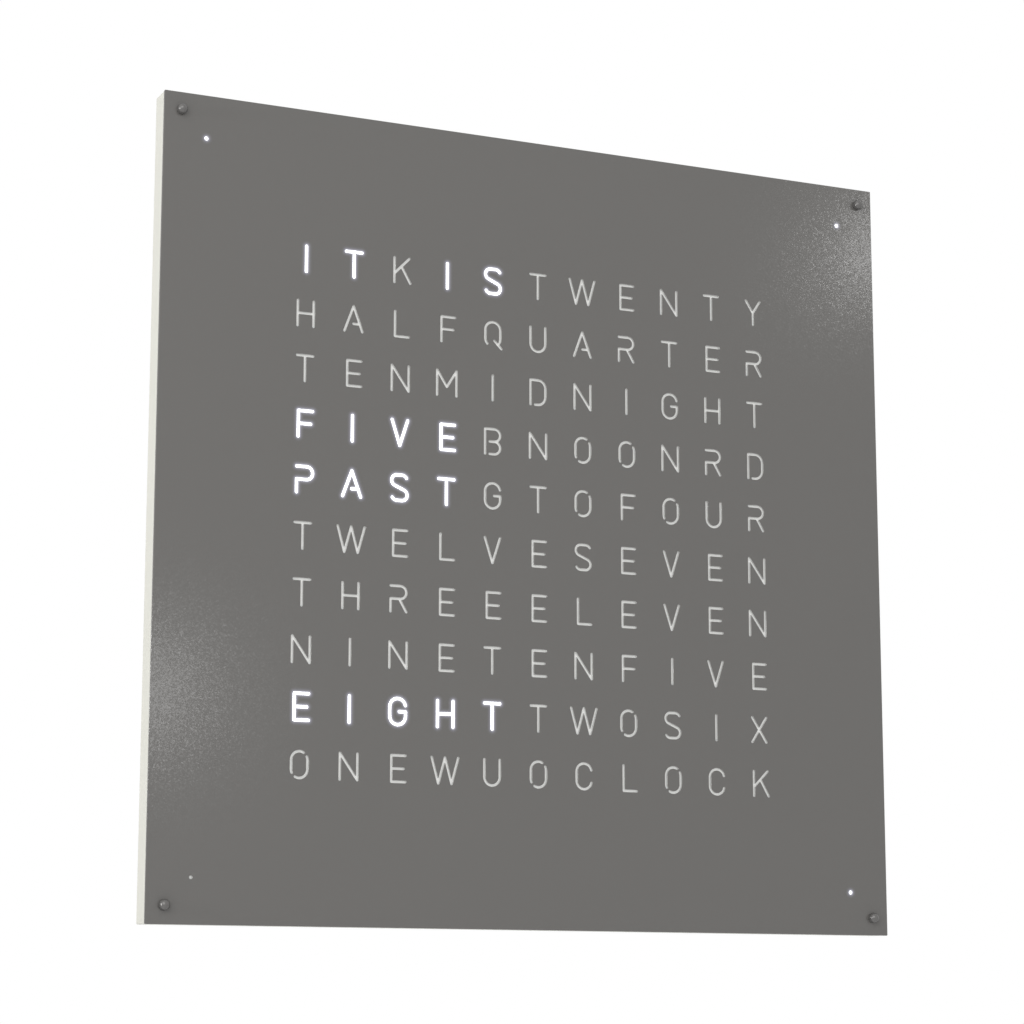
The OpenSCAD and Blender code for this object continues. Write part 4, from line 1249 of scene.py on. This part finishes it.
@dataclass
class BayParts:
    """The other parts on the control board's back. Their tops face the wall.

    Attributes:
        coil_start: Where the antenna's coil starts, as a share of the rod's length.
        coil_pitch_mm: From one turn of the coil to the next.
        coil_turns: How many turns the coil has.
        wire: One turn in outline: shares of the pitch, each with a share of the rod's radius.
    """

    coil_start: float = 0.32
    coil_pitch_mm: float = 0.4
    coil_turns: int = 52
    wire: tuple[tuple[float, float], ...] = ((0.0, 0.93), (0.25, 0.985), (0.5, 1.0), (0.75, 0.985))

    def crystal(self) -> None:
        """Makes the crystal: a drawn can on a flange."""
        low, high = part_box("clock_crystal")
        can = Solids()
        can.block(low, (high.x, low.y + 0.4 * MM, high.z), 0.1 * MM)
        can.block(low + Vector((0.4, 0.3, 0.4)) * MM, high - Vector((0.4, 0.0, 0.4)) * MM, 0.9 * MM, segments=4)
        can.made("crystal_can", "clock_crystal")

    def cans(self) -> None:
        """Makes the capacitors: a black foot under a crimped can with a marked side."""
        feet, cans = Solids(), Solids()
        for low, high in islands("capacitors"):
            r, h = (high.x - low.x) / 2, high.y - low.y
            middle, rim = middle_at(low, high, low.y), 0.1 * MM
            feet.block(low + Vector((rim, 0.0, rim)), (high.x - rim, low.y + 0.7 * MM, high.z - rim), 0.3 * MM)
            top = h - 0.03 * MM
            foot = [(0.5 * MM, 0.0), (0.5 * MM, 0.92 * r), (1.0 * MM, 0.92 * r)]
            waist = [(1.2 * MM, 0.85 * r), (1.4 * MM, 0.85 * r), (1.6 * MM, 0.95 * r)]
            shoulder = [(top - 0.35 * MM, 0.95 * r), (top - 0.1 * MM, 0.9 * r), (top, 0.8 * r), (top, 0.0)]
            cans.turned(middle, BACK, foot + waist + shoulder, steps=32)
            mark = middle + Vector((-0.72 * r, top - 0.02 * MM, -0.42 * r))
            feet.block(mark, mark + Vector((0.42 * r, 0.04 * MM, 0.84 * r)))
        feet.made("capacitor_feet", "capacitors", "black_plastic")
        cans.made("capacitor_cans", "capacitors")

    def cell(self) -> None:
        """Makes the coin cell: a rounded can with a ring pressed into its face."""
        low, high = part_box("coin_cell")
        r, h = (high.x - low.x) / 2, high.y - low.y
        below = [(0.0, 0.0), (0.0, 0.86 * r), (0.3 * MM, 0.9 * r), (0.45 * MM, 0.985 * r), (0.6 * MM, r)]
        above = [(h - 0.35 * MM, r), (h - 0.1 * MM, 0.985 * r), (h, 0.96 * r), (h, 0.88 * r)]
        ring = [(h - 0.06 * MM, 0.87 * r), (h - 0.06 * MM, 0.85 * r), (h, 0.84 * r), (h, 0.0)]
        cell = Solids()
        cell.turned(middle_at(low, high, low.y), BACK, below + above + ring, steps=64)
        cell.made("pressed_cell", "coin_cell")

    def receiver(self) -> None:
        """Makes the radio receiver: a shield can on its own small board."""
        low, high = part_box("radio_receiver")
        board, can = Solids(), Solids()
        board.block(low, (high.x, low.y + 0.8 * MM, high.z), 0.08 * MM)
        can.block(low + Vector((1.6, 0.7, 1.6)) * MM, high - Vector((1.6, 0.0, 1.6)) * MM, 0.25 * MM)
        board.made("receiver_board", "radio_receiver")
        can.made("receiver_can", "radio_receiver", "plated_steel")

    def antenna(self) -> None:
        """Makes the ferrite rod with its coil of varnished wire."""
        low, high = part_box("antenna_rod")
        r, length = (high.z - low.z) / 2, high.x - low.x
        foot = Vector((low.x, (low.y + high.y) / 2, (low.z + high.z) / 2))
        rod, coil = Solids(), Solids()
        near_end = [(0.0, 0.0), (0.0, 0.82 * r), (0.2 * MM, 0.9 * r)]
        far_end = [(length - 0.2 * MM, 0.9 * r), (length, 0.82 * r), (length, 0.0)]
        rod.turned(foot, RIGHT, near_end + far_end, steps=32)
        start, pitch, valley = self.coil_start * length, self.coil_pitch_mm * MM, self.wire[0][1] * r
        end = start + self.coil_turns * pitch
        ridges = [
            (start + (i + share) * pitch, level * r) for i in range(self.coil_turns) for share, level in self.wire
        ]
        coil.turned(foot, RIGHT, [(start, 0.0)] + ridges + [(end, valley), (end, 0.0)], steps=28)
        rod.made("ferrite_core", "antenna_rod")
        coil.made("antenna_coil", "antenna_rod", "insert_brass")

    def terminal(self) -> None:
        """Makes the power terminal: two slotted screws over two wire ways."""
        low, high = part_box("power_terminal")
        body, screws, ways = Solids(), Solids(), Solids()
        body.block(low, high - Vector((0.0, 0.15, 0.0)) * MM, 0.25 * MM)
        middle = (low + high) / 2
        for side in (-1, 1):
            x = middle.x + side * (high.x - low.x) / 4
            head = Vector((x, high.y - 0.3 * MM, middle.z + 0.8 * MM))
            r, way = 1.5 * MM, Vector((1.2, 1.1, 0.15)) * MM
            rounded = [(0.2 * MM, r), (0.28 * MM, 0.9 * r), (0.28 * MM, 0.0)]
            screws.turned(head, BACK, [(0.0, 0.0), (0.0, r)] + rounded)
            ways.block(head + Vector((-r, 0.2 * MM, -0.2 * MM)), head + Vector((r, 0.29 * MM, 0.2 * MM)))
            mouth = Vector((x, middle.y, low.z + way.z))
            ways.block(mouth - way, mouth + way, 0.05 * MM)
        body.made("terminal_body", "power_terminal")
        screws.made("terminal_screws", "power_terminal", "plated_steel")
        ways.made("terminal_ways", "power_terminal", "black_plastic")

    def leads(self) -> None:
        """Makes the two leads of the power inlet, one red and one black."""
        for (low, high), slot in zip(islands("inlet_leads"), ("lead_red", "black_plastic")):
            foot = Vector(((low.x + high.x) / 2, (low.y + high.y) / 2, low.z))
            lead = Solids()
            lead.turned(foot, UP, cylinder((high.x - low.x) / 2, high.z - low.z), steps=20)
            lead.made("lead_" + slot, "inlet_leads", slot)

    def build(self) -> None:
        """Makes every part."""
        self.crystal()
        self.cans()
        self.cell()
        self.receiver()
        self.antenna()
        self.terminal()
        self.leads()


@dataclass
class Balls:
    """The four coated steel balls, each with the low shoulder of coat that meets the cover, in millimetres.

    Attributes:
        shoulder_r: The shoulder's radius.
        ease: How far the shoulder's back edge is rounded.
        clear: The gap between the shoulder and the cover.
        arc_steps: Straight steps along the front and along the back of a ball's outline.
        round_steps: Straight steps round a ball.
    """

    shoulder_r: float = 2.94
    ease: float = 0.15
    clear: float = 0.04
    arc_steps: int = 12
    round_steps: int = 48

    def profile(self, radius: float, lift: float) -> list[tuple[float, float]]:
        """Returns half the outline of a ball: its back, its shoulder and its front.

        Args:
            radius: The ball's radius, in metres.
            lift: How far the ball's middle stands in front of the shoulder's foot, in metres.
        """

        def arc(first: float, last: float) -> list[tuple[float, float]]:
            turns = [math.radians(first + (last - first) * i / self.arc_steps) for i in range(self.arc_steps + 1)]
            return [(radius * math.sin(turn), radius * math.cos(turn)) for turn in turns]

        wall, ease = self.shoulder_r * MM, self.ease * MM
        foot = [(-lift, wall - ease), (ease / 3 - lift, wall - ease / 3), (ease - lift, wall)]
        back = arc(-90.0, -math.degrees(math.asin(lift / radius)))
        return back + foot + arc(-math.degrees(math.acos(wall / radius)), 90.0)

    def build(self) -> None:
        """Makes each ball where its CAD node is."""
        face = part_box("front_cover")[0].y
        for node in sorted(n for n in frame["nodes"] if n.startswith("ball_")):
            low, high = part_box(node)
            centre, radius = (low + high) / 2, (high.x - low.x) / 2
            profile = self.profile(radius, face - centre.y - self.clear * MM)
            ball = Solids()
            ball.turned(centre, FRONT, profile, self.round_steps)
            ball.made("coated_" + node, node)


def dress_nodes() -> None:
    """Gives every CAD node that still shows its own finish."""
    for name, node in frame["nodes"].items():
        material = MATERIALS[SLOT_OF[name]]
        node.data.materials.clear()
        node.data.materials.append(material)
        LOG.info("%s wears %s", name, material.name)


# ---- Studio ----


@dataclass(frozen=True)
class Lamp:
    """A round lamp that is turned to the clock: its place, its width and its power in watts."""

    name: str
    place: tuple[float, float, float]
    width: float
    power: float

    def hang(self) -> None:
        """Adds the lamp to the scene."""
        data = bpy.data.lights.new(self.name, "AREA")
        data.shape, data.size, data.energy = "DISK", self.width, self.power
        lamp = bpy.data.objects.new(self.name, data)
        lamp.location = self.place
        lamp.rotation_euler = (-Vector(self.place)).to_track_quat("-Z", "Y").to_euler()
        bpy.context.scene.collection.objects.link(lamp)


def backdrop_rays(bench: NodeBench) -> bpy.types.NodeSocket:
    """Returns a mask of the rays that see the white backdrop: camera, glossy and transmission rays."""
    ray = bench.add("LightPath")
    seen = bench.math("MAXIMUM", ray.outputs["Is Camera Ray"], ray.outputs["Is Glossy Ray"])
    return bench.math("MAXIMUM", seen, ray.outputs["Is Transmission Ray"])


@dataclass
class Studio:
    """Floor, world, lamps and camera. The camera's place and turn were solved from the photograph."""

    floor_z: float = -0.9
    floor_reach: float = 30.0
    floor_tone: tuple[float, float, float, float] = (0.9, 0.9, 0.9, 1.0)
    floor_share: float = 0.75
    ambient: float = 0.625
    eye: tuple[float, float, float] = (-0.66181, -1.41260, -0.27486)
    forward: tuple[float, float, float] = (0.4136168, 0.8923386, 0.1807011)
    upward: tuple[float, float, float] = (-0.0764778, -0.1637203, 0.9835379)
    lens_mm: float = 97.70
    sensor_mm: float = 36.0
    lamps: tuple[Lamp, ...] = (
        Lamp("left_glint", (0.475, -2.297, 0.175), 0.10, 0.28),
        Lamp("right_glint", (1.486, -1.965, 0.835), 0.06, 0.31),
        Lamp("key", (-1.25, -1.6, 0.8), 2.0, 16.0),
        Lamp("side", (-2.4, -0.25, 0.1), 0.3, 12.6),
    )

    def world(self) -> None:
        """Makes a plain white world, softer as a light than as a backdrop."""
        world = bpy.data.worlds.new("studio")
        bpy.context.scene.world = world
        world.use_nodes = True
        bench = NodeBench(world.node_tree)
        light = bench.add("Background", {"Color": WHITE, "Strength": self.ambient})
        backdrop = bench.add("Background", {"Color": WHITE, "Strength": 1.0})
        mixed = bench.add("MixShader", {0: backdrop_rays(bench), 1: light.outputs[0], 2: backdrop.outputs[0]})
        bench.add("OutputWorld", {"Surface": mixed.outputs[0]})

    def floor(self) -> None:
        """Makes the pale floor far below the clock. It looks nearly as bright as the backdrop."""
        place = Matrix.Translation((0.0, 0.0, self.floor_z))
        bm = bmesh.new()
        bmesh.ops.create_grid(bm, x_segments=8, y_segments=8, size=self.floor_reach, matrix=place)
        mesh = bpy.data.meshes.new("studio_floor")
        bm.to_mesh(mesh)
        bm.free()
        made = bpy.data.objects.new("studio_floor", mesh)
        bpy.context.scene.collection.objects.link(made)
        material = bpy.data.materials.new("pale_floor")
        material.use_nodes = True
        bench = NodeBench(material.node_tree)
        matt = bench.add("BsdfDiffuse", {"Color": self.floor_tone})
        bright = bench.add("Emission", {"Color": WHITE, "Strength": 1.0})
        seen = bench.math("MULTIPLY", backdrop_rays(bench), self.floor_share)
        mixed = bench.add("MixShader", {0: seen, 1: matt.outputs[0], 2: bright.outputs[0]})
        bench.add("OutputMaterial", {"Surface": mixed.outputs[0]})
        mesh.materials.append(material)

    def camera(self) -> None:
        """Stands the camera at the photograph's eye point."""
        forward, upward = Vector(self.forward), Vector(self.upward)
        data = bpy.data.cameras.new("view")
        data.lens, data.sensor_width, data.sensor_fit = self.lens_mm, self.sensor_mm, "HORIZONTAL"
        data.clip_end = 100.0
        camera = bpy.data.objects.new("view", data)
        turn = Matrix((forward.cross(upward), upward, -forward)).transposed().to_4x4()
        camera.matrix_world = Matrix.Translation(Vector(self.eye)) @ turn
        bpy.context.scene.collection.objects.link(camera)
        bpy.context.scene.camera = camera

    def build(self) -> None:
        """Sets up the whole studio."""
        bpy.context.scene.view_settings.view_transform = "Standard"
        self.camera()
        self.world()
        self.floor()
        for lamp in self.lamps:
            lamp.hang()


def main() -> None:
    """Builds the studio and every piece in order."""
    logging.basicConfig(level=logging.INFO, format="%(name)s: %(message)s")
    Studio().build()
    dress_nodes()
    matrix = Matrix2D()
    for part in (FrontCover(matrix), Diffuser(matrix), Balls(), SoftParts(), LightEmitters(), Chips(), BayParts()):
        LOG.info("building %s", type(part).__name__)
        part.build()


if __name__ == "__main__":
    main()
